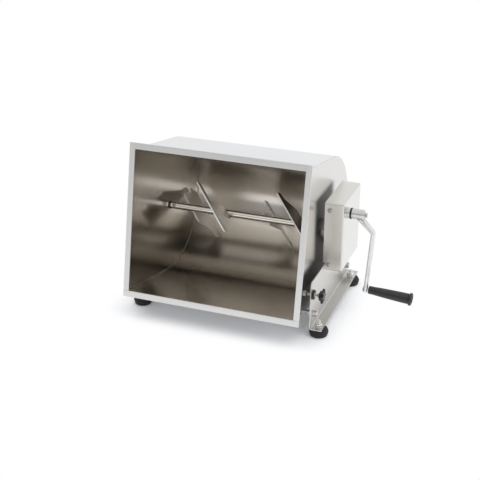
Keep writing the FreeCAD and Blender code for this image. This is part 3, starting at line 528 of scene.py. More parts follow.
rim_front = -MOUTH_DEPTH
rim_back = -MOUTH_DEPTH + RIM_THICK
uprights = bmesh.new()
for side in (-1, 1):
    near, far = sorted((side * rim_in_x, side * rim_out_x))
    strip(uprights, (near, rim_front, -rim_in_z + RIM_GAP), (far, rim_back, rim_out_z))
settle(
    "tank_rim_uprights", uprights, TIPPED, "tank", rim_steel, ["tank_rim"],
)
crossbars = bmesh.new()
strip(
    crossbars, (-rim_in_x + RIM_GAP, rim_front, rim_in_z),
    (rim_in_x - RIM_GAP, rim_back, rim_out_z),
)
strip(crossbars, (-rim_out_x, rim_front, -rim_out_z), (rim_out_x, rim_back, -rim_in_z))
settle("tank_rim_crossbars", crossbars, TIPPED, "tank", rim_steel_across, [])


# Hubs
# A turned flange with a neck, welded on each end wall. The tank tips on the necks, which
# run in the stands, and the shaft passes through them.

HUB_FLANGE_RADIUS = 34.0
HUB_FLANGE_THICK = 4.0
HUB_NECK_RADIUS = 17.0
HUB_LENGTH = 19.0
STUB_RADIUS = 5.05
DRIVE_RADIUS = 7.05
HUB_EDGE = 0.8
turned_steel = steel(
    "Turned steel", (0.66, 0.65, 0.62), rough=0.27, grain=(900.0, 30.0, 30.0),
)


def ring(shape, along, radii):
    """A ring of points round X, one at each of the given radii."""
    spots = []
    for step, radius in enumerate(radii):
        turn = 2 * math.pi * step / len(radii)
        spots.append(shape.verts.new((along, radius * math.cos(turn), radius * math.sin(turn))))
    return spots


def lathe(profile, around=48):
    """A turned part: (along, radius) points of a closed outline, spun about X."""
    shape = bmesh.new()
    rings = []
    for along, radius in profile:
        on_axis = radius < 0.001
        rings.append(ring(shape, along, [0.0] if on_axis else [radius] * around))
    pairs = list(zip(rings, rings[1:]))
    if len(rings[0]) > 1 and len(rings[-1]) > 1:
        pairs.append((rings[-1], rings[0]))
    for one, two in pairs:
        for step in range(around):
            after = (step + 1) % around
            corners = [one[step % len(one)], one[after % len(one)],
                       two[after % len(two)], two[step % len(two)]]
            corners = list(dict.fromkeys(corners))
            if len(corners) > 2:
                shape.faces.new(corners)
    bmesh.ops.recalc_face_normals(shape, faces=shape.faces)
    return shape


def eased(points, edge, steps=3):
    """Rounds the corners of a closed outline. A point may carry its own radius as a third."""
    line = []
    count = len(points)
    for at, point in enumerate(points):
        here = Vector(point[:2])
        before = Vector(points[at - 1][:2])
        after = Vector(points[(at + 1) % count][:2])
        size = point[2] if len(point) > 2 else edge
        if size <= 0 or here.y < 0.001:
            line.append(tuple(here))
            continue
        back = before - here
        on = after - here
        size = min(size, back.length * 0.45, on.length * 0.45)
        one = here + back.normalized() * size
        two = here + on.normalized() * size
        for step in range(steps + 1):
            share = step / steps
            spot = one.lerp(here, share).lerp(here.lerp(two, share), share)
            line.append(tuple(spot))
    return line


def flipped(profile):
    """The same outline, drawn towards -X."""
    return [(-along, radius) for along, radius in profile]


for side, bore in ((-1, STUB_RADIUS), (1, DRIVE_RADIUS)):
    hub_profile = eased([
        (TANK_HALF, bore), (TANK_HALF, HUB_FLANGE_RADIUS),
        (TANK_HALF + HUB_FLANGE_THICK, HUB_FLANGE_RADIUS),
        (TANK_HALF + HUB_FLANGE_THICK, HUB_NECK_RADIUS),
        (TANK_HALF + HUB_LENGTH, HUB_NECK_RADIUS), (TANK_HALF + HUB_LENGTH, bore),
    ], HUB_EDGE)
    if side < 0:
        hub_profile = flipped(hub_profile)
    which = "right" if side > 0 else "left"
    settle(
        "tank_hub_turned_" + which, lathe(hub_profile), TIPPED, "tank",
        turned_steel, ["tank_hub_" + which],
    )


# Shaft seals
# A moulded black rubber ring round the shaft, pressed against each end wall from inside, so
# that nothing gets past the shaft into the hub.

SEAL_RADIUS = 9.2
SEAL_THICK = 1.9
SEAL_LIP = 0.9
SEAL_EDGE = 0.3


def moulded(name, colour, rough, grain_scale, grain_height, shine=0.5):
    """Moulded plastic or rubber with a fine skin texture and slightly uneven gloss."""
    material, tree, shader, place = new_material(name)
    shader.inputs["Specular IOR Level"].default_value = shine
    wear = noise(tree, place, 60.0, 3.0)
    spread = 0.06
    gloss = ranged(tree, wear, (0.3, 0.7), (rough - spread, rough + spread))
    tree.links.new(gloss, shader.inputs["Roughness"])
    shade = tree.nodes.new("ShaderNodeValToRGB")
    for end, position, light in zip(shade.color_ramp.elements, (0.3, 0.7), (0.75, 1.25)):
        end.position = position
        end.color = (*[part * light for part in colour], 1)
    tree.links.new(wear, shade.inputs["Fac"])
    tree.links.new(shade.outputs["Color"], shader.inputs["Base Color"])
    grain = noise(tree, place, grain_scale, 3.0)
    tree.links.new(dented(tree, grain, 0.5, grain_height), shader.inputs["Normal"])
    return material


seal_rubber = moulded(
    "Worn seal rubber", (0.055, 0.052, 0.048), rough=0.4, grain_scale=900.0, grain_height=0.00006,
)
for side, bore in ((-1, STUB_RADIUS), (1, DRIVE_RADIUS)):
    inner = TANK_HALF - TANK_SHEET
    seal_profile = eased([
        (inner - SEAL_THICK, bore), (inner - SEAL_THICK, SEAL_RADIUS, SEAL_LIP),
        (inner, SEAL_RADIUS), (inner, bore),
    ], SEAL_EDGE)
    if side < 0:
        seal_profile = flipped(seal_profile)
    which = "right" if side > 0 else "left"
    settle(
        "shaft_seal_ring_" + which, lathe(seal_profile), TIPPED, "tank", seal_rubber,
        ["shaft_seal_" + which],
    )


# Lock boss
# A small ring welded on the right end wall, which the lock stud enters while the tank is
# tipped as in the photograph.

LOCK_Y = -154.5
LOCK_Z = -86.0
BOLT_RADIUS = 4.0
LOCK_BOSS_RADIUS = 6.5
LOCK_BOSS_THICK = 3.0
LOCK_BORE_PLAY = 0.3
LOCK_BOSS_EDGE = 0.6
lock_bore = BOLT_RADIUS + LOCK_BORE_PLAY
lock_boss_end = TANK_HALF + LOCK_BOSS_THICK
boss_turn = math.radians(TIP_ANGLE)
# Painted shade: the ring takes the darker weld steel, standing in for the shade of the gap between
# tank and stand.
settle(
    "lock_boss_ring",
    lathe(eased([
        (TANK_HALF, lock_bore), (TANK_HALF, LOCK_BOSS_RADIUS),
        (lock_boss_end, LOCK_BOSS_RADIUS), (lock_boss_end, lock_bore),
    ], LOCK_BOSS_EDGE), around=28),
    TIPPED @ Matrix.Translation((
        0, LOCK_Y * math.cos(boss_turn) - LOCK_Z * math.sin(boss_turn),
        LOCK_Y * math.sin(boss_turn) + LOCK_Z * math.cos(boss_turn),
    )),
    "tank", bright_weld, ["lock_boss"],
)


# Paddle shaft
# A polished round bar, socketed at both ends on the pivot stub and the drive shaft and held
# by a cross screw through each socket.

SHAFT_RADIUS = 8.0
SHAFT_HALF = 184.5
SOCKET_EDGE = 0.2
SHAFT_EDGE = 0.8
shaft_steel = steel(
    "Polished bar", (0.84, 0.81, 0.765), rough=0.16, grain=(25.0, 700.0, 700.0),
)
shaft_profile = eased([
    (-SHAFT_HALF, STUB_RADIUS, SOCKET_EDGE), (-SHAFT_HALF, SHAFT_RADIUS, SHAFT_EDGE),
    (SHAFT_HALF, SHAFT_RADIUS, SHAFT_EDGE), (SHAFT_HALF, STUB_RADIUS, SOCKET_EDGE),
], SHAFT_EDGE)
settle(
    "paddle_shaft_bar", lathe(shaft_profile, around=64), LEVEL, "agitator", shaft_steel,
    ["paddle_shaft"],
)


# Paddles
# Four flat blades set askew to the shaft and welded to it on both faces. The middle two are
# bars on a narrow stem, the end two are full plates. They point forward and backward in turn.
# On the last three blades the face towards the front is painted light; the other faces are
# painted darker, as painted shade, and the fourth blade's far face darkest. Their edges are
# ground bright, with a painted highlight.

PADDLE_PITCH = 92.0
PADDLE_THICK = 3.0
PADDLE_REACH = 118.0
PADDLE_HALF = 64.0
PADDLE_SKEW = 50.0
PADDLE_TURN = 29.0
PADDLE_CORNER = 4.0
PADDLE_EDGE = 0.5
STEM_HALF = 16.0
STEM_CORNER = 3.0
BAR_WIDTH = 21.0
ROOT_HALF = 37.0
ROOT_WELD_RADIUS = 1.4
ROOT_WELD_HALF = 9
ROOT_WELD_OFF = 0.2
PADDLE_GRAIN = (320.0, 320.0, 320.0)
MIDDLE_BLADE = [
    (STEM_HALF, SHAFT_RADIUS / 2, 0), (STEM_HALF, PADDLE_REACH - BAR_WIDTH, STEM_CORNER),
    (PADDLE_HALF, PADDLE_REACH - BAR_WIDTH, STEM_CORNER),
    (PADDLE_HALF, PADDLE_REACH, PADDLE_CORNER),
]
END_BLADE = [
    (ROOT_HALF, SHAFT_RADIUS / 2, 2), (55.0, PADDLE_REACH - 40.0, 6),
    (69.0, PADDLE_REACH - 29.0, 5), (PADDLE_HALF, PADDLE_REACH, PADDLE_CORNER),
]
# Painted shade: the darkest tone, with a dark specular tint, for the fourth blade's far face.
paddle_steel = steel(
    "Paddle far face, painted dark shade", (0.26, 0.23, 0.205), rough=0.20, grain=PADDLE_GRAIN, spread=0.03,
    relief=0.1,
)
paddle_shader = paddle_steel.node_tree.nodes["Principled BSDF"]
paddle_shader.inputs["Specular Tint"].default_value = (0.25, 0.235, 0.22, 1)
# Painted light: the lighter tone for the front faces of the last three blades.
paddle_lit_face = steel(
    "Paddle front face, painted light", (0.80, 0.76, 0.70), rough=0.42, grain=PADDLE_GRAIN, spread=0.03,
    relief=0.1,
)
# Painted shade: the darker tone for the remaining faces.
paddle_shaded_face = steel(
    "Paddle face, painted shade", (0.56, 0.525, 0.475), rough=0.34, grain=PADDLE_GRAIN,
    spread=0.03, relief=0.1,
)
# Partly a painted highlight: the ground edges are given a near-white, non-metal colour.
ground_edge_highlight = steel(
    "Ground paddle edge, painted highlight", (1.0, 0.985, 0.95), rough=0.30, grain=(90.0, 90.0, 90.0), spread=0.04,
    tint=0.02, metal=0.0,
)


def rounded(outline, corner, steps):
    """Rounds an outline's corners. A corner may carry its own radius as a third value."""
    line = []
    for at, point in enumerate(outline):
        here = Vector(point[:2])
        back = Vector(outline[at - 1][:2]) - here
        on = Vector(outline[(at + 1) % len(outline)][:2]) - here
        size = point[2] if len(point) > 2 else corner
        if size <= 0:
            line.append(tuple(here))
            continue
        bend = back.angle(on) / 2
        reach = min(size / math.tan(bend), back.length * 0.49, on.length * 0.49)
        size = reach * math.tan(bend)
        centre = here + (back.normalized() + on.normalized()).normalized() * (
            size / math.sin(bend)
        )
        one = here + back.normalized() * reach - centre
        two = here + on.normalized() * reach - centre
        for step in range(steps + 1):
            share = one.lerp(two, step / steps).normalized() * size
            line.append(tuple(centre + share))
    return line


def paddle_place(number):
    """Where blade 1 to 4 sits: its radial line is the blade's Z, its width the blade's X."""
    forward = number % 2 == 0
    turn = 90 - PADDLE_TURN
    skew = PADDLE_SKEW
    if forward:
        skew = -skew
    else:
        turn -= 180
    along = (number - 2.5) * PADDLE_PITCH
    return (
        LEVEL @ Matrix.Translation((along, 0, 0))
        @ Matrix.Rotation(math.radians(turn), 4, "X")
        @ Matrix.Rotation(math.radians(skew), 4, "Z")
    )


top_finish = {1: paddle_shaded_face, 2: paddle_shaded_face, 3: paddle_shaded_face, 4: paddle_steel}
skew_sin = math.sin(math.radians(PADDLE_SKEW))
skew_cos = math.cos(math.radians(PADDLE_SKEW))
bead_lines = []
for number in range(1, 5):
    place = paddle_place(number)
    half = END_BLADE if number in (1, 4) else MIDDLE_BLADE
    corners = half + [(-x, z, size) for x, z, size in reversed(half)]
    outline = [(x, -PADDLE_THICK / 2, z) for x, z in rounded(corners, PADDLE_CORNER, steps=4)]
    blank = soften(drawn_out(outline, (0, PADDLE_THICK, 0)), PADDLE_EDGE, sharper_than=60)
    blade = settle(
        "paddle_blade_%d" % number, blank, place, "agitator", top_finish[number],
        ["paddle_%d" % number],
    )
    blade.data.materials.append(ground_edge_highlight)
    blade.data.materials.append(paddle_lit_face)
    across = (place.to_3x3() @ Vector((0, 1, 0))).normalized()
    if across.y < 0:
        across.negate()
    # Painted light and shade: each face takes its tone by which way it faces.
    for side in blade.data.polygons:
        if abs(side.normal.dot(across)) < 0.95:
            side.material_index = 1
        elif side.normal.dot(across) < 0 and number > 1:
            side.material_index = 2
    for face in (-1, 1):
        line = []
        for x in range(-ROOT_WELD_HALF, ROOT_WELD_HALF + 1):
            off_axis = x * skew_sin + face * PADDLE_THICK / 2 * skew_cos
            rise = SHAFT_RADIUS ** 2 - off_axis ** 2
            if rise > 0:
                off_face = face * (PADDLE_THICK / 2 + ROOT_WELD_OFF)
                line.append(place @ Vector((x, off_face, math.sqrt(rise))))
        bead_lines.append(line)
bead(
    "paddle_root_welds", bead_lines, ROOT_WELD_RADIUS, Matrix.Identity(4), "agitator",
    unevenness=0.7, step=1.0,
)


# Shaft screws
# Two pan-head screws with cross recesses hold the shaft's sockets on the stub and the drive
# shaft. Each kind of fastener is drawn once and set on its spots, turned at random, as
# tightening leaves it.

END_SCREW_INSET = 9.0
SHAFT_SCREW_RISE = 0.45
SHAFT_SCREW_SINK = 0.3
SHAFT_SCREW_HEAD = 4.6
SHAFT_SCREW_HIGH = 2.4
SCREW_STEM_RADIUS = 2.4
SHAFT_SCREW_STEM = 12.0
HARDWARE_GRAIN = (400.0, 400.0, 400.0)
# Painted shade: the screws' steel is darkened so their heads read dark round the edge.
shaded_screw_steel = steel(
    "Screw steel, darkened as painted shade", (0.45, 0.43, 0.40), rough=0.15, grain=HARDWARE_GRAIN,
)


def fastener_tree():
    """Geometry nodes: one fastener on every point, facing the way that the point says."""
    tree, given = new_tree("Fasteners on their spots", (
        ("Fastener", "Object"), ("Size", "Float"), ("Largest turn", "Float"), ("Seed", "Int"),
    ))
    nodes = tree.nodes
    links = tree.links
    points = nodes.new("GeometryNodeMeshToPoints")
    links.new(given.outputs["Geometry"], points.inputs["Mesh"])
    part = nodes.new("GeometryNodeObjectInfo")
    links.new(given.outputs["Fastener"], part.inputs["Object"])
    facing = nodes.new("GeometryNodeInputNamedAttribute")
    facing.data_type = "FLOAT_VECTOR"
    facing.inputs["Name"].default_value = "facing"
    aim = nodes.new("FunctionNodeAlignRotationToVector")
    aim.axis = "X"
    links.new(facing.outputs["Attribute"], aim.inputs["Vector"])
    turn = nodes.new("FunctionNodeRandomValue")
    turn.data_type = "FLOAT"
    links.new(given.outputs["Largest turn"], turn.inputs["Max"])
    links.new(given.outputs["Seed"], turn.inputs["Seed"])
    about = nodes.new("FunctionNodeAxisAngleToRotation")
    about.inputs["Axis"].default_value = (1, 0, 0)
    links.new(turn.outputs["Value"], about.inputs["Angle"])
    spun = nodes.new("FunctionNodeRotateRotation")
    spun.rotation_space = "LOCAL"
    links.new(aim.outputs["Rotation"], spun.inputs["Rotation"])
    links.new(about.outputs["Rotation"], spun.inputs["Rotate By"])
    copies = nodes.new("GeometryNodeInstanceOnPoints")
    links.new(points.outputs["Points"], copies.inputs["Points"])
    links.new(part.outputs["Geometry"], copies.inputs["Instance"])
    links.new(spun.outputs["Rotation"], copies.inputs["Rotation"])
    links.new(given.outputs["Size"], copies.inputs["Scale"])
    end_tree(tree, given, copies.outputs["Instances"])
    return tree


FASTENER_TREE = fastener_tree()


def set_on(name, part, spots, body, finish, stands_for, turn=math.pi, seed=1):
    """Sets a fastener, drawn from X = 0 outwards, on each (place, facing) in millimetres."""
    sample = laid_out(name + "_sample", part)
    smooth(sample.data)
    holder = wire(name, [LEVEL @ Vector(spot) for spot, _ in spots], [])
    facing = holder.data.attributes.new("facing", "FLOAT_VECTOR", "POINT")
    for at, (_, way) in enumerate(spots):
        facing.data[at].vector = way
    made = grown_on(holder, FASTENER_TREE, {
        "Fastener": sample, "Size": MM, "Largest turn": turn, "Seed": seed, "Finish": finish,
    })
    take_away(sample)
    hand_over(name, made, body, stands_for)


def carved(shape, tool):
    """Cuts one bmesh out of another, and gives the result as a bmesh."""
    blank = laid_out("carving", shape)
    cutter = laid_out("cutter", tool)
    cut = blank.modifiers.new("Recess", "BOOLEAN")
    cut.operation = "DIFFERENCE"
    cut.solver = "EXACT"
    cut.use_self = True
    cut.object = cutter
    mesh = worked_in(blank)
    take_away(cutter)
    result = bmesh.new()
    result.from_mesh(mesh)
    bpy.data.meshes.remove(mesh)
    return result


def cross_screw(radius, height, stem_radius, stem_length):
    """A pan-head screw with a cross recess. Its head stands out along X from zero."""
    profile = [(-stem_length, 0), (-stem_length, stem_radius), (0, stem_radius), (0, radius)]
    for step in range(1, 9):
        turn = math.pi / 2 * step / 8
        profile.append((
            height * (0.25 + 0.75 * math.sin(turn)), radius * (0.04 + 0.96 * math.cos(turn) ** 0.8)
        ))
    profile.append((height, 0))
    head = lathe(profile, around=40)
    recess = bmesh.new()
    for turn in (0, math.pi / 2):
        cut = bmesh.new()
        bmesh.ops.create_cube(cut, size=1.0)
        bmesh.ops.scale(cut, vec=(height * 1.1, radius * 0.26, radius * 1.05), verts=cut.verts)
        for corner in cut.verts:
            if corner.co.x < 0:
                corner.co.y *= 0.6
                corner.co.z *= 0.45
        bmesh.ops.translate(cut, vec=(height, 0, 0), verts=cut.verts)
        merge(recess, cut, Matrix.Rotation(turn, 4, "X"))
    return carved(head, recess)


screw_out = SHAFT_RADIUS * math.cos(SHAFT_SCREW_RISE) - SHAFT_SCREW_SINK
screw_up = SHAFT_RADIUS * math.sin(SHAFT_SCREW_RISE)
screw_way = (0, -math.cos(SHAFT_SCREW_RISE), math.sin(SHAFT_SCREW_RISE))
screw_along = SHAFT_HALF - END_SCREW_INSET
set_on(
    "shaft_cross_screws",
    cross_screw(SHAFT_SCREW_HEAD, SHAFT_SCREW_HIGH, SCREW_STEM_RADIUS, SHAFT_SCREW_STEM),
    [((side * screw_along, -screw_out, screw_up), screw_way) for side in (-1, 1)],
    "agitator", shaded_screw_steel, ["shaft_screws"], seed=4,
)


# Pivot stub
# The left end of the shaft turns on a steel stub that passes through the left hub and is
# held outside the stand by a washer and a nut.

STUB_BAR = 5.0
STUB_EDGE = 0.4
STUB_ENTRY = 22.0
STUB_PLAY = 0.3
STUB_THREAD = 8.0
STUB_NUT_FLATS = 16.0
STUB_NUT_THICK = 5.0
STUB_WASHER_RADIUS = 10.0
WASHER_THICK = 1.5
THREAD_OVERLAP = 0.5
bright_hardware = steel(
    "Bright plated hardware", (0.84, 0.83, 0.80), rough=0.13, grain=HARDWARE_GRAIN,
)


def hex_nut(flats, thick, bore, chamfer=0.9, lip=0.6, around=48):
    """A hexagon nut from X = 0, with its corners turned back on both faces."""
    shape = bmesh.new()
    hexagon = []
    for step in range(around):
        turn = 2 * math.pi * step / around
        slant = (turn + math.pi / 6) % (math.pi / 3) - math.pi / 6
        hexagon.append(flats / 2 / math.cos(slant))
    turned_back = [min(radius, flats / math.sqrt(3) - chamfer) for radius in hexagon]
    drop = chamfer * 0.55
    rings = [
        ring(shape, along, radii) for along, radii in (
            (0.0, turned_back), (drop, hexagon), (thick - drop, hexagon), (thick, turned_back),
            (thick, [bore + lip] * around), (thick - lip, [bore] * around),
            (lip, [bore] * around), (0.0, [bore + lip] * around),
        )
    ]
    joined(shape, rings + rings[:1])
    bmesh.ops.recalc_face_normals(shape, faces=shape.faces)
    return shape


def washer(outer, bore, thick):
    """A flat washer from X = 0, with its edges broken."""
    profile = [(0, bore), (0, outer), (thick, outer), (thick, bore)]
    return lathe(eased(profile, edge=0.35, steps=2), around=36)


def threaded(length, radius, pitch=1.25, depth=0.55, around=28, per_turn=6):
    """A threaded bar from X = 0, with a chamfered far end."""
    shape = bmesh.new()
    rows = int(length / pitch * per_turn)
    rings = []
    for row in range(rows + 1):
        along = length * row / rows
        chamfered = radius - depth + (length - along) * 0.9
        radii = []
        for step in range(around):
            wave = (along / pitch - step / around) % 1.0
            radii.append(min(radius - depth * abs(2 * wave - 1), chamfered))
        rings.append(ring(shape, along, radii))
    joined(shape, rings)
    for end, along in ((rings[0], 0.0), (rings[-1], length)):
        middle = shape.verts.new((along, 0, 0))
        for step in range(around):
            shape.faces.new((end[step], end[(step + 1) % around], middle))
    bmesh.ops.recalc_face_normals(shape, faces=shape.faces)
    return shape


washer_start = -TANK_HALF - HUB_LENGTH - STUB_PLAY
thread_start = washer_start - WASHER_THICK + THREAD_OVERLAP
stub = lathe(eased([
    (thread_start, 0), (thread_start, STUB_BAR), (STUB_ENTRY - SHAFT_HALF, STUB_BAR),
    (STUB_ENTRY - SHAFT_HALF, 0),
], STUB_EDGE), around=32)
merge(
    stub, threaded(STUB_THREAD + THREAD_OVERLAP, STUB_BAR),
    Matrix.Translation((thread_start, 0, 0)) @ Matrix.Rotation(math.pi, 4, "Z"),
)
settle(
    "pivot_stub_bar", stub, LEVEL, "agitator", turned_steel, ["pivot_stub"],
)
set_on(
    "pivot_stub_washer", washer(STUB_WASHER_RADIUS, STUB_BAR, WASHER_THICK),
    [((washer_start, 0, 0), (-1, 0, 0))], "agitator", bright_hardware,
    ["stub_washer"],
)
set_on(
    "pivot_stub_nut", hex_nut(STUB_NUT_FLATS, STUB_NUT_THICK, STUB_BAR),
    [((washer_start - WASHER_THICK, 0, 0), (-1, 0, 0))], "agitator", bright_hardware,
    ["stub_nut"], seed=9,
)


# Drive side, inside the gearbox
# The drive shaft carries the large gear, pinned on and kept by a clip, and the crank's
# pinion meshes with it. None of it shows while the cover is on.

gear_steel = steel(
    "Machined gear steel", (0.42, 0.42, 0.43), rough=0.34, grain=(600.0, 60.0, 60.0), spread=0.06,
)
black_nylon = moulded(
    "Black nylon", (0.022, 0.022, 0.023), rough=0.5, grain_scale=900.0, grain_height=0.00006,
)
CAD_FINISHES = {
    "drive_shaft": (turned_steel, "paddle_steel"),
    "drive_gear": (gear_steel, "gear_steel"),
    "gear_pin": (bright_hardware, "plated_steel"),
    "gear_clip": (bright_hardware, "plated_steel"),
    "pinion_gear": (gear_steel, "gear_steel"),
    "pinion_pin": (bright_hardware, "plated_steel"),
    "crank_bush": (black_nylon, "black_nylon"),
}
for node, (finish, slot) in CAD_FINISHES.items():
    part = frame["nodes"][node]
    part.data.materials.clear()
    part.data.materials.append(finish)


# Stands
# Each stand is one bent stainless sheet: a wide foot flange, a base and a narrower neck
# that carries the pivot. The upper face of the foot flange is painted darker, as painted shade.
# The right one is flanged along its whole foot, and its inner face is painted dark, as painted
# shade. The left one turns in two short tabs, so that the upright tank clears it.

PLATE_THICK = 2.0
STAND_GAP = 204.0
STAND_FACE = STAND_GAP + PLATE_THICK
STAND_FRONT = -168.6
STAND_BACK = 136.3
FLOOR = -SHAFT.z / MM
FOOT_HEIGHT = 17.0
STAND_BASE = FLOOR + FOOT_HEIGHT
STAND_SHOULDER = -53.0
UPRIGHT_FRONT = -62.7
UPRIGHT_BACK = 71.2
UPRIGHT_TOP = 85.3
STAND_FLANGE = 27.0
LEFT_TAB = 56.0
BEND_INSIDE = 2.0
BEND_STEPS = 6
SHEET_EDGE = 0.35
FOOT_CORNER = 3.0
NECK_CORNER = 2.0
SHOULDER_CORNER = 10.0
LEFT_TOP_CORNER = 50.0
RIGHT_TOP_CORNER = 3.0
NOTCH_RISE = 1.0
STAND_GRAIN = (60.0, 9.0, 60.0)
bend_out = BEND_INSIDE + PLATE_THICK
bend_middle = BEND_INSIDE + PLATE_THICK / 2
bend_arc = bend_middle * math.pi / 2
stand_steel = steel(
    "Brushed stand steel", (0.71, 0.695, 0.675), rough=0.33, grain=STAND_GRAIN, smear=0.4,
    spread=0.015, tint=0.008, relief=0.03,
)
# Painted shade: a darker copy of the stand steel for the flange's upper face.
flange_painted_shade = steel(
    "Brushed foot flange, painted shade", (0.60, 0.585, 0.56), rough=0.28, grain=STAND_GRAIN, smear=0.4,
    spread=0.015, tint=0.008, relief=0.03,
)
# Painted shade: a dark copy for the right stand's inner face, so the gap beside the tank mirrors
# dark.
stand_back_painted_shade = steel(
    "Stand back, painted shade", (0.26, 0.245, 0.23), rough=0.42, grain=STAND_GRAIN, spread=0.03, tint=0.01,
)


def bent_sheet(blank):
    """A sheet standing on Z = 0 with its face on X = 0, cut to a flat blank of (y, z) points.
    What lies below zero is bent out along X on a small radius, as in a press brake."""
    shape = drawn_out([(0, y, z) for y, z in blank], (PLATE_THICK, 0, 0))
    soften(shape, SHEET_EDGE, sharper_than=60)
    for step in range(BEND_STEPS + 1):
        bmesh.ops.bisect_plane(
            shape, geom=shape.verts[:] + shape.edges[:] + shape.faces[:],
            plane_co=(0, 0, -bend_arc * step / BEND_STEPS), plane_no=(0, 0, 1),
        )
    for spot in shape.verts:
        x, z = spot.co.x, spot.co.z
        if z >= 0:
            spot.co.z = z + bend_out
            continue
        turn = min(-z / bend_middle, math.pi / 2)
        radius = PLATE_THICK - x + BEND_INSIDE
        past = max(-z - bend_arc, 0.0)
        spot.co.x = bend_out - radius * math.cos(turn) + past
        spot.co.z = bend_out - radius * math.sin(turn)
    return shape


def stand_blank(top_corner, tabs):
    """The flat blank of a stand, as (y, z) with the bend line at zero."""
    shoulder = STAND_SHOULDER - STAND_BASE - bend_out
    top = UPRIGHT_TOP - STAND_BASE - bend_out
    foot = bend_out - STAND_FLANGE - bend_arc
    notch = NOTCH_RISE - bend_out
    sides = [
        (STAND_BACK, shoulder, SHOULDER_CORNER), (UPRIGHT_BACK, shoulder),
        (UPRIGHT_BACK, top, top_corner), (UPRIGHT_FRONT, top, top_corner),
        (UPRIGHT_FRONT, shoulder), (STAND_FRONT, shoulder, SHOULDER_CORNER),
    ]
    front_corner = (STAND_FRONT, foot, FOOT_CORNER)
    back_corner = (STAND_BACK, foot, FOOT_CORNER)
    if not tabs:
        return rounded([front_corner, back_corner] + sides, NECK_CORNER, steps=6)
    notched = [
        (STAND_FRONT + LEFT_TAB, foot, FOOT_CORNER), (STAND_FRONT + LEFT_TAB, notch),
        (STAND_BACK - LEFT_TAB, notch), (STAND_BACK - LEFT_TAB, foot, FOOT_CORNER),
    ]
    return rounded([front_corner] + notched + [back_corner] + sides, NECK_CORNER, steps=14)


flange_limit = SHAFT.z + (STAND_BASE + 3 * BEND_INSIDE) * MM
for side, x, tabs, top_corner in (
    ("left", -STAND_FACE, True, LEFT_TOP_CORNER), ("right", STAND_GAP, False, RIGHT_TOP_CORNER),
):
    stand = settle(
        "stand_sheet_" + side, bent_sheet(stand_blank(top_corner, tabs)),
        LEVEL @ Matrix.Translation((x, 0, STAND_BASE)), "stand", stand_steel,
        ["stand_" + side],
    )
    smear_along(stand, LEVEL, lambda spot: (spot.z + spot.x, spot.y))
    stand.data.materials.append(flange_painted_shade)
    stand.data.materials.append(stand_back_painted_shade)
    # Painted shade: low upward faces take the darker flange steel, the right stand's inner face
    # the dark one.
    for face in stand.data.polygons:
        if face.normal.z > 0.7 and face.center.z < flange_limit:
            face.material_index = 1
        elif side == "right" and face.normal.x < -0.9:
            face.material_index = 2


# Pivot bushes
# Moulded black nylon rings, one in each stand, in which the tank's necks turn. A small
# clearance round the neck lets the tank tip freely.

BUSH_WALL = 3.0
BUSH_PROUD = 1.5
BUSH_PLAY = 0.05
BUSH_EDGE = 0.4
bush_bore = HUB_NECK_RADIUS + BUSH_PLAY
bush_radius = HUB_NECK_RADIUS + BUSH_WALL
for side, x in (("left", -STAND_FACE), ("right", STAND_GAP)):
    bush_start = x - BUSH_PROUD
    bush_end = x + PLATE_THICK + BUSH_PROUD
    bush_profile = eased([
        (bush_start, bush_bore), (bush_start, bush_radius), (bush_end, bush_radius),
        (bush_end, bush_bore),
    ], BUSH_EDGE)
    settle(
        "pivot_bush_ring_" + side, lathe(bush_profile), LEVEL, "stand", black_nylon,
        ["pivot_bush_" + side],
    )


# Tie rods
# Two plated steel bars, threaded at both ends, join the stands. A nut and a washer lock each
# side of each sheet.

RODS = {}
for row in ("front", "back"):
    low, high = [Vector(corner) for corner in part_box("tie_rod_" + row)]
    middle = ((low + high) / 2 - SHAFT) / MM
    RODS[row] = (middle.y, middle.z)
NUT_FLATS = 13.0
NUT_THICK = 6.5
WASHER_RADIUS = 8.0
ROD_END = 0.5
ROD_THREAD_LEFT = 12.0
ROD_EDGE = 0.3
THREAD_WORN = 0.3
thread_core = BOLT_RADIUS - THREAD_WORN
rod_half = STAND_FACE + WASHER_THICK + NUT_THICK + ROD_END
plain_half = STAND_GAP - WASHER_THICK - NUT_THICK - ROD_THREAD_LEFT
nut_spots = []
washer_spots = []
for row, (y, z) in RODS.items():
    rod = lathe(eased([
        (-plain_half, 0), (-plain_half, thread_core), (plain_half, thread_core),
        (plain_half, 0),
    ], ROD_EDGE), around=28)
    for side in (-1, 1):
        turn = Matrix.Identity(4) if side > 0 else Matrix.Rotation(math.pi, 4, "Z")
        merge(
            rod, threaded(rod_half - plain_half, BOLT_RADIUS),
            turn @ Matrix.Translation((plain_half, 0, 0)),
        )
        washer_spots.append(((side * STAND_FACE, y, z), (side, 0, 0)))
        washer_spots.append(((side * STAND_GAP, y, z), (-side, 0, 0)))
        nut_spots.append(((side * (STAND_FACE + WASHER_THICK), y, z), (side, 0, 0)))
        nut_spots.append(((side * (STAND_GAP - WASHER_THICK), y, z), (-side, 0, 0)))
    settle(
        "tie_rod_bar_" + row, rod, LEVEL @ Matrix.Translation((0, y, z)), "stand",
        bright_hardware, ["tie_rod_" + row],
    )
set_on(
    "tie_rod_hex_nuts", hex_nut(NUT_FLATS, NUT_THICK, thread_core), nut_spots, "stand",
    bright_hardware, ["tie_rod_nuts"], seed=2,
)
set_on(
    "tie_rod_flat_washers", washer(WASHER_RADIUS, BOLT_RADIUS, WASHER_THICK), washer_spots,
    "stand", bright_hardware, ["tie_rod_washers"],
)


# Feet
# Four black rubber feet, bulging below the flange, each moulded on a long threaded stud that
# goes up through it into a washer and a nut.

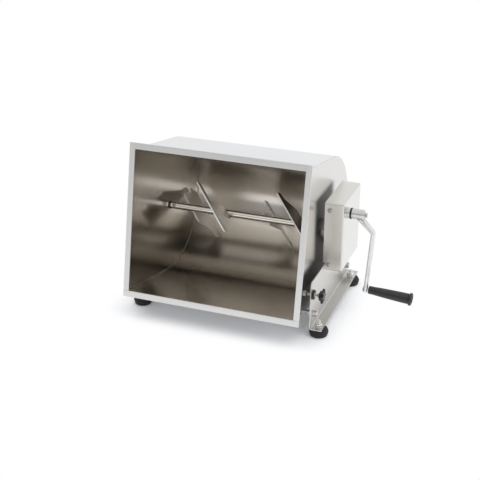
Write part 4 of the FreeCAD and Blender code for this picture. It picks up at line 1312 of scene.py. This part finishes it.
FOOT_WIDE = 21.5
FOOT_WIDE_AT = 10.5
FOOT_TOP = 18.0
FOOT_BASE = 18.5
FOOT_BOTTOM_EDGE = 1.5
FOOT_SEAT = 9.0
FOOT_SEAT_SLOPE = 0.4
FOOT_SEAT_DEPTH = 0.6
FOOT_OUT_LEFT = 13.5
FOOT_OUT_RIGHT = 16.5
FOOT_IN_FRONT = 17.0
FOOT_IN_BACK = 32.0
STUD_END = 9.0
UP = (0, 0, 1)
foot_rubber = moulded(
    "Foot rubber", (0.02, 0.02, 0.021), rough=0.62, grain_scale=700.0, grain_height=0.00012,
    shine=0.35,
)
foot_spots = [
    (x, y)
    for x in (FOOT_OUT_LEFT - STAND_FACE, FOOT_OUT_RIGHT + STAND_GAP)
    for y in (STAND_FRONT + FOOT_IN_FRONT, STAND_BACK - FOOT_IN_BACK)
]
foot_profile = eased([
    (0, 0), (0, FOOT_BASE - FOOT_BOTTOM_EDGE, 1.2), (1.0, FOOT_BASE, 0.8),
    (FOOT_WIDE_AT, FOOT_WIDE, 3.5), (FOOT_HEIGHT, FOOT_TOP, 1.2),
    (FOOT_HEIGHT, FOOT_SEAT, 0.3),
    (FOOT_HEIGHT - FOOT_SEAT_DEPTH, FOOT_SEAT - FOOT_SEAT_SLOPE, 0.2),
    (FOOT_HEIGHT - FOOT_SEAT_DEPTH, 0),
], edge=0.8)
set_on(
    "rubber_feet", lathe(foot_profile, around=56),
    [((x, y, FLOOR), UP) for x, y in foot_spots], "stand", foot_rubber,
    ["foot_front_left", "foot_back_left", "foot_front_right", "foot_back_right"],
)
flange_top = STAND_BASE + PLATE_THICK
set_on(
    "foot_threaded_studs",
    threaded(PLATE_THICK + WASHER_THICK + NUT_THICK + STUD_END, BOLT_RADIUS),
    [((x, y, STAND_BASE), UP) for x, y in foot_spots], "stand", bright_hardware,
    ["foot_studs"],
)
set_on(
    "foot_flat_washers", washer(WASHER_RADIUS, BOLT_RADIUS, WASHER_THICK),
    [((x, y, flange_top), UP) for x, y in foot_spots], "stand", bright_hardware,
    ["foot_washers"],
)
set_on(
    "foot_hex_nuts", hex_nut(NUT_FLATS, NUT_THICK, thread_core),
    [((x, y, flange_top + WASHER_THICK), UP) for x, y in foot_spots], "stand",
    bright_hardware, ["foot_nuts"], seed=7,
)


# Gearbox cover
# A folded stainless box, open towards the stand, that closes the gears in and laps over the
# edges of the stand's neck. Its end face is painted brighter than its sides, as painted light.
# Four screws hold it to tabs on the stand.

COVER_FRONT = -64.2
COVER_BACK = 72.7
COVER_BOTTOM = -69.6
COVER_TOP = 86.8
COVER_DEPTH = 35.6
COVER_FACE = STAND_FACE + COVER_DEPTH
COVER_SHEET = 1.5
COVER_LAP = 4.0
COVER_CORNER = 2.6
COVER_STEP_PLAY = 0.3
COVER_STEP_SIZE = 400.0
COVER_SCREW_OUT = 5.0
COVER_SCREW_LOW = -56.0
COVER_SCREW_HIGH = 70.5
COVER_SCREW_HEAD = 5.4
COVER_SCREW_DOME = 2.8
COVER_SCREW_STEM = 5.0
COVER_GRAIN = (600.0, 600.0, 16.0)
cover_steel = steel(
    "Brushed cover steel", (0.78, 0.755, 0.71), rough=0.30, grain=COVER_GRAIN, spread=0.03,
    tint=0.02, relief=0.15,
)
# Painted light: a brighter copy of the cover steel for the end face.
cover_end_painted_light = steel(
    "Cover end steel, painted light", (0.83, 0.825, 0.815), rough=0.30, grain=COVER_GRAIN, spread=0.03, tint=0.02,
    relief=0.15,
)


def open_box(low, high, wall, corner):
    """A box without its -X side, with rounded outer edges and a wall of even thickness."""

    def on_mouth(item):
        """Whether an edge or a face lies on the open side."""
        return all(abs(spot.co.x - low[0]) < 0.01 for spot in item.verts)

    shape = bmesh.new()
    for inset in (0.0, wall):
        inset_low = [low[0]] + [value + inset for value in low[1:]]
        part = block(inset_low, [value - inset for value in high])
        bmesh.ops.bevel(
            part, geom=[edge for edge in part.edges if not on_mouth(edge)],
            offset=corner - inset * 0.7, segments=5, profile=0.5, affect="EDGES",
        )
        mouth = [face for face in part.faces if on_mouth(face)]
        bmesh.ops.delete(part, geom=mouth, context="FACES")
        if inset:
            bmesh.ops.reverse_faces(part, faces=part.faces)
        merge(shape, part)
    rims = [edge for edge in shape.edges if len(edge.link_faces) == 1]
    bmesh.ops.bridge_loops(shape, edges=rims)
    bmesh.ops.recalc_face_normals(shape, faces=shape.faces)
    return shape


cover_box = open_box(
    (STAND_GAP - COVER_LAP, COVER_FRONT, COVER_BOTTOM), (COVER_FACE, COVER_BACK, COVER_TOP),
    COVER_SHEET, COVER_CORNER,
)
step_top = STAND_SHOULDER + COVER_STEP_PLAY
cover_step = block(
    (STAND_FACE - COVER_STEP_SIZE, -COVER_STEP_SIZE / 2, step_top - COVER_STEP_SIZE),
    (STAND_FACE, COVER_STEP_SIZE / 2, step_top),
)
cover = settle(
    "gearbox_cover_box", carved(cover_box, cover_step), LEVEL, "stand", cover_steel,
    ["gearbox_cover"],
)
cover.data.materials.append(cover_end_painted_light)
# Painted light: faces that look out along X take the brighter end steel.
for side in cover.data.polygons:
    if side.normal.x > 0.9:
        side.material_index = 1
cover_spots = [
    ((STAND_FACE + COVER_SCREW_OUT, y, z), (0, way, 0))
    for y, way in ((COVER_FRONT, -1), (COVER_BACK, 1))
    for z in (COVER_SCREW_LOW, COVER_SCREW_HIGH)
]
set_on(
    "cover_pan_screws",
    cross_screw(COVER_SCREW_HEAD, COVER_SCREW_DOME, SCREW_STEM_RADIUS, COVER_SCREW_STEM),
    cover_spots, "stand", shaded_screw_steel, ["cover_screws"], turn=1.2, seed=5,
)


# Crank boss and collar
# A turned steel boss on the cover guides the crank shaft. A black ring parts it from the
# arm, so that the crank doesn't rub on the boss.

CRANK_AT = (Vector(JOINTS["crank_spin"]["pos_m"]) - SHAFT) / MM
CRANK_LINE = LEVEL @ Matrix.Translation((0, CRANK_AT.y, CRANK_AT.z))
CRANK_RADIUS = 6.0
BOSS_RADIUS = 12.0
BOSS_LENGTH = 9.4
COLLAR_RADIUS = 12.5
COLLAR_LENGTH = 3.1
COLLAR_TAPER = 0.8
COLLAR_PLAY = 0.3
CRANK_PLAY = 0.05
SPIGOT_RADIUS = 9.0
SPIGOT_LENGTH = 6.0
bright_boss = steel(
    "Turned bright boss", (0.76, 0.75, 0.73), rough=0.24, grain=(900.0, 40.0, 40.0),
)
boss_end = COVER_FACE + BOSS_LENGTH
settle(
    "crank_boss_turned",
    lathe(eased([
        (COVER_FACE - SPIGOT_LENGTH, CRANK_RADIUS + CRANK_PLAY),
        (COVER_FACE - SPIGOT_LENGTH, SPIGOT_RADIUS), (COVER_FACE, SPIGOT_RADIUS, 0.1),
        (COVER_FACE, BOSS_RADIUS, 0.4), (boss_end, BOSS_RADIUS, 1.0),
        (boss_end, CRANK_RADIUS + CRANK_PLAY),
    ], edge=0.3), around=56),
    CRANK_LINE, "stand", bright_boss, ["crank_boss"],
)
collar_start = boss_end + COLLAR_PLAY
collar_end = collar_start + COLLAR_LENGTH
settle(
    "crank_collar_ring",
    lathe(eased([
        (collar_start, CRANK_RADIUS), (collar_start, COLLAR_RADIUS - COLLAR_TAPER),
        (collar_end, COLLAR_RADIUS, COLLAR_TAPER), (collar_end, CRANK_RADIUS),
    ], edge=0.4), around=56),
    CRANK_LINE, "crank", black_nylon, ["crank_collar"],
)


# Crank shaft
# A turned steel pin that runs from the pinion out through the boss into the arm's hub. The
# collar sits on it.

ARM_HUB_LENGTH = 27.0
ARM_HUB_END = 4.0
SHAFT_PAST_BUSH = 2.0
CRANK_SHAFT_EDGE = 0.5
hub_end = collar_end + ARM_HUB_LENGTH
pin_end = hub_end - ARM_HUB_END
pin_start = STAND_GAP - BUSH_PROUD - SHAFT_PAST_BUSH
settle(
    "crank_shaft_pin",
    lathe(eased([
        (pin_start, 0), (pin_start, CRANK_RADIUS), (pin_end, CRANK_RADIUS), (pin_end, 0),
    ], CRANK_SHAFT_EDGE), around=36),
    CRANK_LINE, "crank", turned_steel, ["crank_shaft"],
)


# Crank arm
# One casting, tumbled bright: a round hub, a web that leans out and turns down, and an eye
# for the handle. Its section is flat with round edges and thins towards the eye.

ARM_HUB_RADIUS = 11.5
ARM_BEND_OUT = 20.88
ARM_BEND_DROP = 38.0
ARM_ROOT_IN = 16.8
ARM_ROOT_IN_DROP = 7.5
ARM_ROOT_OUT = 0.5
ARM_ROOT_OUT_DROP = 8.4
ARM_ROOT_SHY = 1.2
ARM_TAPER = 0.9
ARM_THICK = 9.0
ARM_END_RADIUS = 8.5
ARM_BORE_PLAY = 0.02
EYE_FLAT = 6.0
EYE_ROUND = 2.1
EYE_THINNING = 0.35
CRANK_THROW = 173.0
HANDLE_TILT = 4.0


def cast_metal():
    """Tumbled cast alloy: bright, slightly pebbled, with cloudy patches."""
    material, tree, shader, place = new_material("Tumbled casting")
    shader.inputs["Metallic"].default_value = 1.0
    clouds = noise(tree, place, 45.0, 5.0)
    shade = tree.nodes.new("ShaderNodeValToRGB")
    shade.color_ramp.elements[0].position = 0.3
    shade.color_ramp.elements[0].color = (0.71, 0.71, 0.71, 1)
    shade.color_ramp.elements[1].position = 0.7
    shade.color_ramp.elements[1].color = (0.87, 0.87, 0.865, 1)
    tree.links.new(clouds, shade.inputs["Fac"])
    tree.links.new(shade.outputs["Color"], shader.inputs["Base Color"])
    gloss = ranged(tree, clouds, (0.0, 1.0), (0.22, 0.40))
    tree.links.new(gloss, shader.inputs["Roughness"])
    pebbles = noise(tree, place, 260.0, 2.0)
    tree.links.new(dented(tree, pebbles, 0.6, 0.0003), shader.inputs["Normal"])
    return material


arm_metal = cast_metal()


def arm_section(shape, centre, across, wide, thick, steps=32, power=3.2):
    """One cross-section of the arm, a rounded oblong: wide along Y, thick along across."""
    spots = []
    for step in range(steps):
        turn = 2 * math.pi * step / steps
        c = math.cos(turn)
        s = math.sin(turn)
        grow = (abs(c) ** power + abs(s) ** power) ** (-1 / power)
        spot = Vector(centre) + Vector((0, 1, 0)) * (wide * c * grow)
        spots.append(shape.verts.new(spot + Vector(across) * (thick * s * grow)))
    return spots


def arm_shape():
    """The arm's web: broad where it leaves the hub, then narrowing round the bend to the eye.
    Each cross-section is given by the point on its inner side and the one on its outer side."""
    lean = math.radians(HANDLE_TILT)
    lower = Vector((-math.sin(lean), 0, -math.cos(lean)))
    out = Vector((math.cos(lean), 0, -math.sin(lean)))
    bend = Vector((hub_end + ARM_BEND_OUT, 0, -ARM_BEND_DROP))
    half = ARM_THICK / 2 / math.cos(lean)
    inner_root = Vector((hub_end - ARM_ROOT_IN, 0, -ARM_ROOT_IN_DROP))
    outer_root = Vector((hub_end - ARM_ROOT_OUT, 0, -ARM_ROOT_OUT_DROP))
    inner_bend = bend - Vector((half, 0, 0))
    outer_bend = bend + Vector((half, 0, 0))
    eye = bend + lower * ((CRANK_THROW - ARM_BEND_DROP) / math.cos(lean))
    root_wide = ARM_HUB_RADIUS - ARM_ROOT_SHY
    bend_wide = root_wide - ARM_TAPER
    stations = []
    for share in (0.0, 0.15, 0.3, 0.45, 0.6, 0.75, 0.88, 0.95):
        stations.append((
            inner_root.lerp(inner_bend, share), outer_root.lerp(outer_bend, share),
            root_wide - share * ARM_TAPER,
        ))
    for share in (0.012, 0.04, 0.1, 0.2, 0.4, 0.6, 0.8, 0.93, 1.0):
        middle = bend.lerp(eye, share)
        stations.append((
            middle - out * ARM_THICK / 2, middle + out * ARM_THICK / 2,
            bend_wide * (1 - share) + ARM_END_RADIUS * share,
        ))
    for drop in (2.2, 4.4, 6.2, 7.4, 8.1):
        middle = eye + lower * drop
        thin = ARM_THICK / 2 * (1 - EYE_THINNING * max(0.0, drop - EYE_FLAT) / EYE_ROUND)
        stations.append((
            middle - out * thin, middle + out * thin,
            math.sqrt(ARM_END_RADIUS ** 2 - drop ** 2),
        ))
    shape = bmesh.new()
    rings = []
    for inner, outer, wide in stations:
        across = (outer - inner).normalized()
        rings.append(arm_section(
            shape, (inner + outer) / 2, across, wide, (outer - inner).length / 2,
        ))
    joined(shape, rings)
    shape.faces.new(rings[0])
    shape.faces.new(rings[-1])
    bmesh.ops.recalc_face_normals(shape, faces=shape.faces)
    return shape


arm = arm_shape()
merge(arm, lathe(eased([
    (collar_end, CRANK_RADIUS + ARM_BORE_PLAY), (collar_end, ARM_HUB_RADIUS, 1.2),
    (hub_end, ARM_HUB_RADIUS, 2.0), (hub_end, 0), (pin_end, 0),
    (pin_end, CRANK_RADIUS + ARM_BORE_PLAY),
], edge=0.4, steps=4), around=56))
settle(
    "crank_arm_casting", arm, CRANK_LINE, "crank", arm_metal, ["crank_arm"],
    crease=50,
)


# Crank screw
# A small plated hexagon screw with a flange, in the end of the hub. It holds the arm on its
# shaft.

SCREW_FLATS = 10.0
SCREW_HEAD_HIGH = 5.0
SCREW_FLANGE_RADIUS = 8.0
SCREW_FLANGE_THICK = 1.5
SCREW_DIMPLE = 0.2
crank_screw = hex_nut(SCREW_FLATS, SCREW_HEAD_HIGH, SCREW_DIMPLE, chamfer=0.8)
bmesh.ops.translate(crank_screw, vec=(SCREW_FLANGE_THICK, 0, 0), verts=crank_screw.verts)
merge(crank_screw, lathe(eased([
    (0, 0), (0, SCREW_FLANGE_RADIUS), (SCREW_FLANGE_THICK, SCREW_FLANGE_RADIUS),
    (SCREW_FLANGE_THICK, 0),
], edge=0.4), around=36))
set_on(
    "crank_end_screw", crank_screw, [((hub_end, CRANK_AT.y, CRANK_AT.z), (1, 0, 0))],
    "crank", bright_hardware, ["crank_screw"], seed=3,
)


# Handle
# A black moulded grip that turns on a steel pin riveted through the arm's eye. It swells
# towards the far end and finishes in a flange, with the pin's head sunk in it.

GRIP_GAP = 2.0
GRIP_LENGTH = 96.0
GRIP_NEAR = 8.9
GRIP_FAR = 11.7
GRIP_LIP = 14.0
LIP_WIDTH = 7.0
GRIP_RECESS = 5.0
GRIP_PLAY = 0.1
PIN_RADIUS = 4.5
RIVET_HIGH = 2.0
RIVET_WIDE = 2.0
PIN_HEAD_WIDE = 3.0
PIN_HEAD_PLAY = 0.4
PIN_HEAD_SIDE = 2.6
PIN_HEAD_TOP = 3.4
HANDLE_AT = (Vector(JOINTS["grip_spin"]["pos_m"]) - SHAFT) / MM
HANDLE_LINE = (
    LEVEL @ Matrix.Translation(HANDLE_AT) @ Matrix.Rotation(math.radians(HANDLE_TILT), 4, "Y")
)
grip_start = ARM_THICK / 2 + GRIP_GAP
grip_end = grip_start + GRIP_LENGTH
lip_start = grip_end - LIP_WIDTH
arm_face = -ARM_THICK / 2
sunk_at = grip_end - GRIP_RECESS
settle(
    "handle_pin_rivet",
    lathe(eased([
        (arm_face - RIVET_HIGH, 0), (arm_face - RIVET_HIGH, PIN_RADIUS + RIVET_WIDE / 2, 1.0),
        (arm_face, PIN_RADIUS + RIVET_WIDE, 0.3), (arm_face + 0.2, PIN_RADIUS, 0.1),
        (sunk_at + PIN_HEAD_PLAY, PIN_RADIUS, 0.1),
        (sunk_at + PIN_HEAD_PLAY, PIN_RADIUS + PIN_HEAD_WIDE, 0.2),
        (sunk_at + PIN_HEAD_SIDE, PIN_RADIUS + PIN_HEAD_WIDE, 0.8),
        (sunk_at + PIN_HEAD_TOP, PIN_RADIUS, 0.8), (sunk_at + PIN_HEAD_TOP, 0),
    ], edge=0.3), around=36),
    HANDLE_LINE, "crank", bright_hardware, ["handle_pin"],
)
black_grip = moulded(
    "Black grip plastic", (0.022, 0.021, 0.022), rough=0.30, grain_scale=500.0,
    grain_height=0.00008,
)
grip_profile = eased([
    (grip_start, PIN_RADIUS + GRIP_PLAY, 0.2), (grip_start, GRIP_NEAR - 0.4, 0.8),
    (grip_start + 2.5, GRIP_NEAR, 0.8), (grip_start + 10.0, GRIP_NEAR, 4.0),
    (grip_start + 34.0, GRIP_NEAR + 1.4, 8.0), (lip_start - 20.0, GRIP_FAR - 0.3, 8.0),
    (lip_start - 1.5, GRIP_FAR, 0.6), (lip_start - 0.6, GRIP_FAR - 0.7, 0.3),
    (lip_start, GRIP_FAR - 0.6, 0.2), (lip_start + 0.8, GRIP_LIP, 0.8),
    (grip_end - 1.8, GRIP_LIP, 1.2), (grip_end, GRIP_LIP - 2.0, 0.8),
    (grip_end, PIN_RADIUS + 4.4, 0.5), (sunk_at, PIN_RADIUS + 4.0, 0.3),
    (sunk_at, PIN_RADIUS + GRIP_PLAY, 0.2),
], edge=0.5, steps=5)
settle(
    "handle_grip_turned", lathe(grip_profile, around=64), HANDLE_LINE, "grip", black_grip,
    ["handle_grip"], crease=40,
)


# Lock
# A black nylon bush on the stand guides the lock's threaded stud, which a black star knob
# screws into the boss on the tank's end wall.

LOCK_BUSH_RADIUS = 10.5
LOCK_BUSH_LENGTH = 4.0
LOCK_TRAVEL = 3.5
KNOB_STAND_OFF = 5.8
KNOB_NECK = 2.0
KNOB_LENGTH = 10.0
KNOB_CORE = 11.5
KNOB_LOBE = 4.8
KNOB_DIP = 2.6
STUD_IN_KNOB = 2.0
STUD_TIP_PLAY = 1.5
LOCK_LINE = LEVEL @ Matrix.Translation((0, LOCK_Y, LOCK_Z))
lock_bush_end = STAND_FACE + LOCK_BUSH_LENGTH
knob_start = lock_bush_end + LOCK_TRAVEL + KNOB_STAND_OFF + KNOB_NECK
settle(
    "lock_bush_ring",
    lathe(eased([
        (STAND_FACE, BOLT_RADIUS + BUSH_PLAY), (STAND_FACE, LOCK_BUSH_RADIUS),
        (lock_bush_end, LOCK_BUSH_RADIUS, 1.2), (lock_bush_end, BOLT_RADIUS + BUSH_PLAY),
    ], edge=0.3, steps=4), around=48),
    LOCK_LINE, "stand", black_nylon, ["lock_bush"],
)
stud_head = knob_start + STUD_IN_KNOB
stud_tip = TANK_HALF + LOCK_BOSS_THICK + STUD_TIP_PLAY
settle(
    "lock_threaded_stud", threaded(stud_head - stud_tip, BOLT_RADIUS),
    LOCK_LINE @ Matrix.Translation((stud_head, 0, 0)) @ Matrix.Rotation(math.pi, 4, "Z"),
    "lock", bright_hardware, ["lock_stud"],
)


def star_knob(lobes=6, around=96):
    """A six-lobed knob: a round shoulder, then the lobes, then a domed face."""
    shape = bmesh.new()
    rings = []
    stations = (
        (-KNOB_NECK, 6.2, 0.0), (-KNOB_NECK + 0.4, 6.8, 0.0), (-0.2, 7.8, 0.0),
        (0.2, 10.2, 0.0), (0.9, KNOB_CORE - 0.5, 0.0), (3.4, KNOB_CORE - 0.4, 0.0),
        (3.7, KNOB_CORE - 0.2, 0.72), (4.5, KNOB_CORE, 1.0),
        (7.4, KNOB_CORE - 0.3, 1.0), (8.7, KNOB_CORE - 1.0, 0.92),
        (9.5, KNOB_CORE - 2.4, 0.7), (KNOB_LENGTH, KNOB_CORE - 4.8, 0.3),
        (KNOB_LENGTH, 4.0, 0.0), (KNOB_LENGTH - 0.5, 3.2, 0.0),
    )
    for along, radius, swell in stations:
        radii = []
        for step in range(around):
            wave = (0.5 + 0.5 * math.cos(lobes * 2 * math.pi * step / around)) ** 0.8
            radii.append(radius + swell * (KNOB_LOBE * wave - KNOB_DIP * (1 - wave)))
        rings.append(ring(shape, along, radii))
    joined(shape, rings)
    shape.faces.new(rings[0])
    shape.faces.new(rings[-1])
    bmesh.ops.recalc_face_normals(shape, faces=shape.faces)
    return shape


settle(
    "lock_star_knob", star_knob(), LOCK_LINE @ Matrix.Translation((knob_start, 0, 0)), "lock",
    black_grip, ["lock_knob"], crease=50,
)


# Studio
# A plain pale floor that turns pure white past the shadow, and white surroundings with a
# softer ceiling, dim only behind the camera, where two strip lights show in polished steel.
# Two large soft lamps light the object.

SHADOW_SHIFT = (0.0075, -0.0175)
SHADOW_HALF = (0.2075, 0.1675)
SHADOW_FADE = 0.075
FLOOR_REACH = 14.0
floor_mesh = bpy.data.meshes.new("studio_floor")
floor_mesh.from_pydata(
    [(-FLOOR_REACH, -FLOOR_REACH, 0), (FLOOR_REACH, -FLOOR_REACH, 0),
     (FLOOR_REACH, FLOOR_REACH, 0), (-FLOOR_REACH, FLOOR_REACH, 0)],
    [], [(0, 1, 2, 3)],
)
floor = bpy.data.objects.new("studio_floor", floor_mesh)
bpy.context.scene.collection.objects.link(floor)
paper, paper_tree, paper_shader, paper_place = new_material("Studio paper")
paper_shader.inputs["Base Color"].default_value = (0.84, 0.86, 0.89, 1)
paper_shader.inputs["Roughness"].default_value = 0.8
paper_shader.inputs["Specular IOR Level"].default_value = 0.1


def glow(tree, strength):
    """A plain white light."""
    light = tree.nodes.new("ShaderNodeEmission")
    light.inputs["Strength"].default_value = strength
    return light.outputs["Emission"]


def mixed(tree, share, one, other):
    """One shader where the share is nought, the other where it is one."""
    mix = tree.nodes.new("ShaderNodeMixShader")
    tree.links.new(share, mix.inputs["Fac"])
    tree.links.new(one, mix.inputs[1])
    tree.links.new(other, mix.inputs[2])
    return mix.outputs["Shader"]


lifted = paper_tree.nodes.new("ShaderNodeAddShader")
paper_tree.links.new(paper_shader.outputs["BSDF"], lifted.inputs[0])
paper_tree.links.new(glow(paper_tree, strength=0.10), lifted.inputs[1])
past_shadow = paper_place
for operation, amount in (
    ("SUBTRACT", (SHAFT.x + SHADOW_SHIFT[0], SHAFT.y + SHADOW_SHIFT[1], 0)),
    ("ABSOLUTE", (0, 0, 0)), ("SUBTRACT", (*SHADOW_HALF, 1)), ("MAXIMUM", (0, 0, 0)),
):
    worked = paper_tree.nodes.new("ShaderNodeVectorMath")
    worked.operation = operation
    worked.inputs[1].default_value = amount
    paper_tree.links.new(past_shadow, worked.inputs[0])
    past_shadow = worked.outputs["Vector"]
distance = paper_tree.nodes.new("ShaderNodeVectorMath")
distance.operation = "LENGTH"
paper_tree.links.new(past_shadow, distance.inputs[0])
fade = ranged(paper_tree, distance.outputs["Value"], (0.0, SHADOW_FADE), eased_in=True)
faded = mixed(paper_tree, fade, lifted.outputs["Shader"], glow(paper_tree, strength=1.0))
paper_seen = paper_tree.nodes.new("ShaderNodeLightPath")
seen_or_mirrored = paper_tree.nodes.new("ShaderNodeMath")
seen_or_mirrored.operation = "ADD"
paper_tree.links.new(paper_seen.outputs["Is Glossy Ray"], seen_or_mirrored.inputs[0])
paper_tree.links.new(paper_seen.outputs["Is Camera Ray"], seen_or_mirrored.inputs[1])
paper_tree.links.new(
    mixed(paper_tree, seen_or_mirrored.outputs["Value"], paper_shader.outputs["BSDF"], faded),
    paper_tree.nodes["Material Output"].inputs["Surface"],
)
floor_mesh.materials.append(paper)

FRONT_FADE = (-0.75, 0.25)
CEILING_FADE = (0.45, 0.75)
STRIP_LIGHTS = (
    ({"X": (0.43, 0.15), "Z": (0.515, 0.06)}, (1.5, 1.48, 1.44, 1)),
    ({"X": (-0.31, 0.16), "Z": (0.64, 0.09)}, (0.95, 0.92, 0.87, 1)),
)
world = bpy.data.worlds.new("Studio surround")
bpy.context.scene.world = world
world.use_nodes = True
sky_nodes = world.node_tree.nodes
sky_links = world.node_tree.links
surround = sky_nodes["Background"]
surround.inputs["Strength"].default_value = 0.95
towards = sky_nodes.new("ShaderNodeTexCoord")
heading = sky_nodes.new("ShaderNodeSeparateXYZ")
sky_links.new(towards.outputs["Generated"], heading.inputs["Vector"])


def tinted(share, below, colour):
    """The colour below, going over to another one where the share is one."""
    mix = sky_nodes.new("ShaderNodeMix")
    mix.data_type = "RGBA"
    sky_links.new(share, mix.inputs["Factor"])
    sky_links.new(below, mix.inputs["A"])
    mix.inputs["B"].default_value = colour
    return mix.outputs["Result"]


front_dim = ranged(world.node_tree, heading.outputs["Y"], FRONT_FADE, eased_in=True)
dim_room = sky_nodes.new("ShaderNodeRGB")
dim_room.outputs["Color"].default_value = (0.42, 0.415, 0.415, 1)
lit = tinted(front_dim, dim_room.outputs["Color"], (0.97, 0.985, 1.0, 1))
up_dim = ranged(world.node_tree, heading.outputs["Z"], CEILING_FADE, eased_in=True)
lit = tinted(up_dim, lit, (0.80, 0.79, 0.78, 1))
for spans, strip_glow in STRIP_LIGHTS:
    in_strip = sky_nodes.new("ShaderNodeMath")
    in_strip.operation = "LESS_THAN"
    in_strip.inputs[1].default_value = 0.0
    sky_links.new(heading.outputs["Y"], in_strip.inputs[0])
    for axis, (middle, half) in spans.items():
        near = sky_nodes.new("ShaderNodeMath")
        near.operation = "COMPARE"
        near.inputs[1].default_value = middle
        near.inputs[2].default_value = half
        sky_links.new(heading.outputs[axis], near.inputs[0])
        both = sky_nodes.new("ShaderNodeMath")
        both.operation = "MULTIPLY"
        sky_links.new(in_strip.outputs["Value"], both.inputs[0])
        sky_links.new(near.outputs["Value"], both.inputs[1])
        in_strip = both
    lit = tinted(in_strip.outputs["Value"], lit, strip_glow)
sky_links.new(lit, surround.inputs["Color"])
white = sky_nodes.new("ShaderNodeBackground")
white.inputs["Color"].default_value = (1, 1, 1, 1)
white.inputs["Strength"].default_value = 1.0
seen = sky_nodes.new("ShaderNodeLightPath")
sky_links.new(
    mixed(
        world.node_tree, seen.outputs["Is Camera Ray"], surround.outputs["Background"],
        white.outputs["Background"],
    ),
    sky_nodes["World Output"].inputs["Surface"],
)


def lamp(name, place, aim, size, power):
    """A soft lamp of the given width and height, in metres, which nothing mirrors."""
    light = bpy.data.lights.new(name, "AREA")
    light.shape = "RECTANGLE"
    light.size, light.size_y = size
    light.energy = power
    holder = bpy.data.objects.new(name, light)
    holder.location = place
    holder.rotation_euler = (Vector(aim) - Vector(place)).to_track_quat("-Z", "Y").to_euler()
    holder.visible_glossy = False
    bpy.context.scene.collection.objects.link(holder)


lamp("Overhead softbox", place=(0.0, 0.1, 2.2), aim=(0, 0, 0.1), size=(2.4, 2.0), power=30.0)
lamp("Right softbox", place=(2.2, -0.9, 1.3), aim=(0.1, 0, 0.15), size=(1.2, 1.4), power=9.0)


# Camera
# Set to the photograph's viewing angle and distance, found from the tank's straight edges.

AZIMUTH = math.radians(20.655)
ELEVATION = math.radians(24.786)
DISTANCE = 2.2999
LENS = 77.482
SENSOR = 36.0
TARGET = Vector((3.909, -52.9, -36.547)) * MM + SHAFT
to_camera = Vector((
    math.sin(AZIMUTH) * math.cos(ELEVATION), -math.cos(AZIMUTH) * math.cos(ELEVATION),
    math.sin(ELEVATION),
))
camera_data = bpy.data.cameras.new("Photo view")
camera = bpy.data.objects.new("Photo view", camera_data)
bpy.context.scene.collection.objects.link(camera)
camera_data.sensor_width = SENSOR
camera_data.lens = LENS
camera.location = TARGET + to_camera * DISTANCE
camera.rotation_euler = (-to_camera).to_track_quat("-Z", "Y").to_euler()
bpy.context.scene.camera = camera
bpy.context.scene.view_settings.view_transform = "Standard"
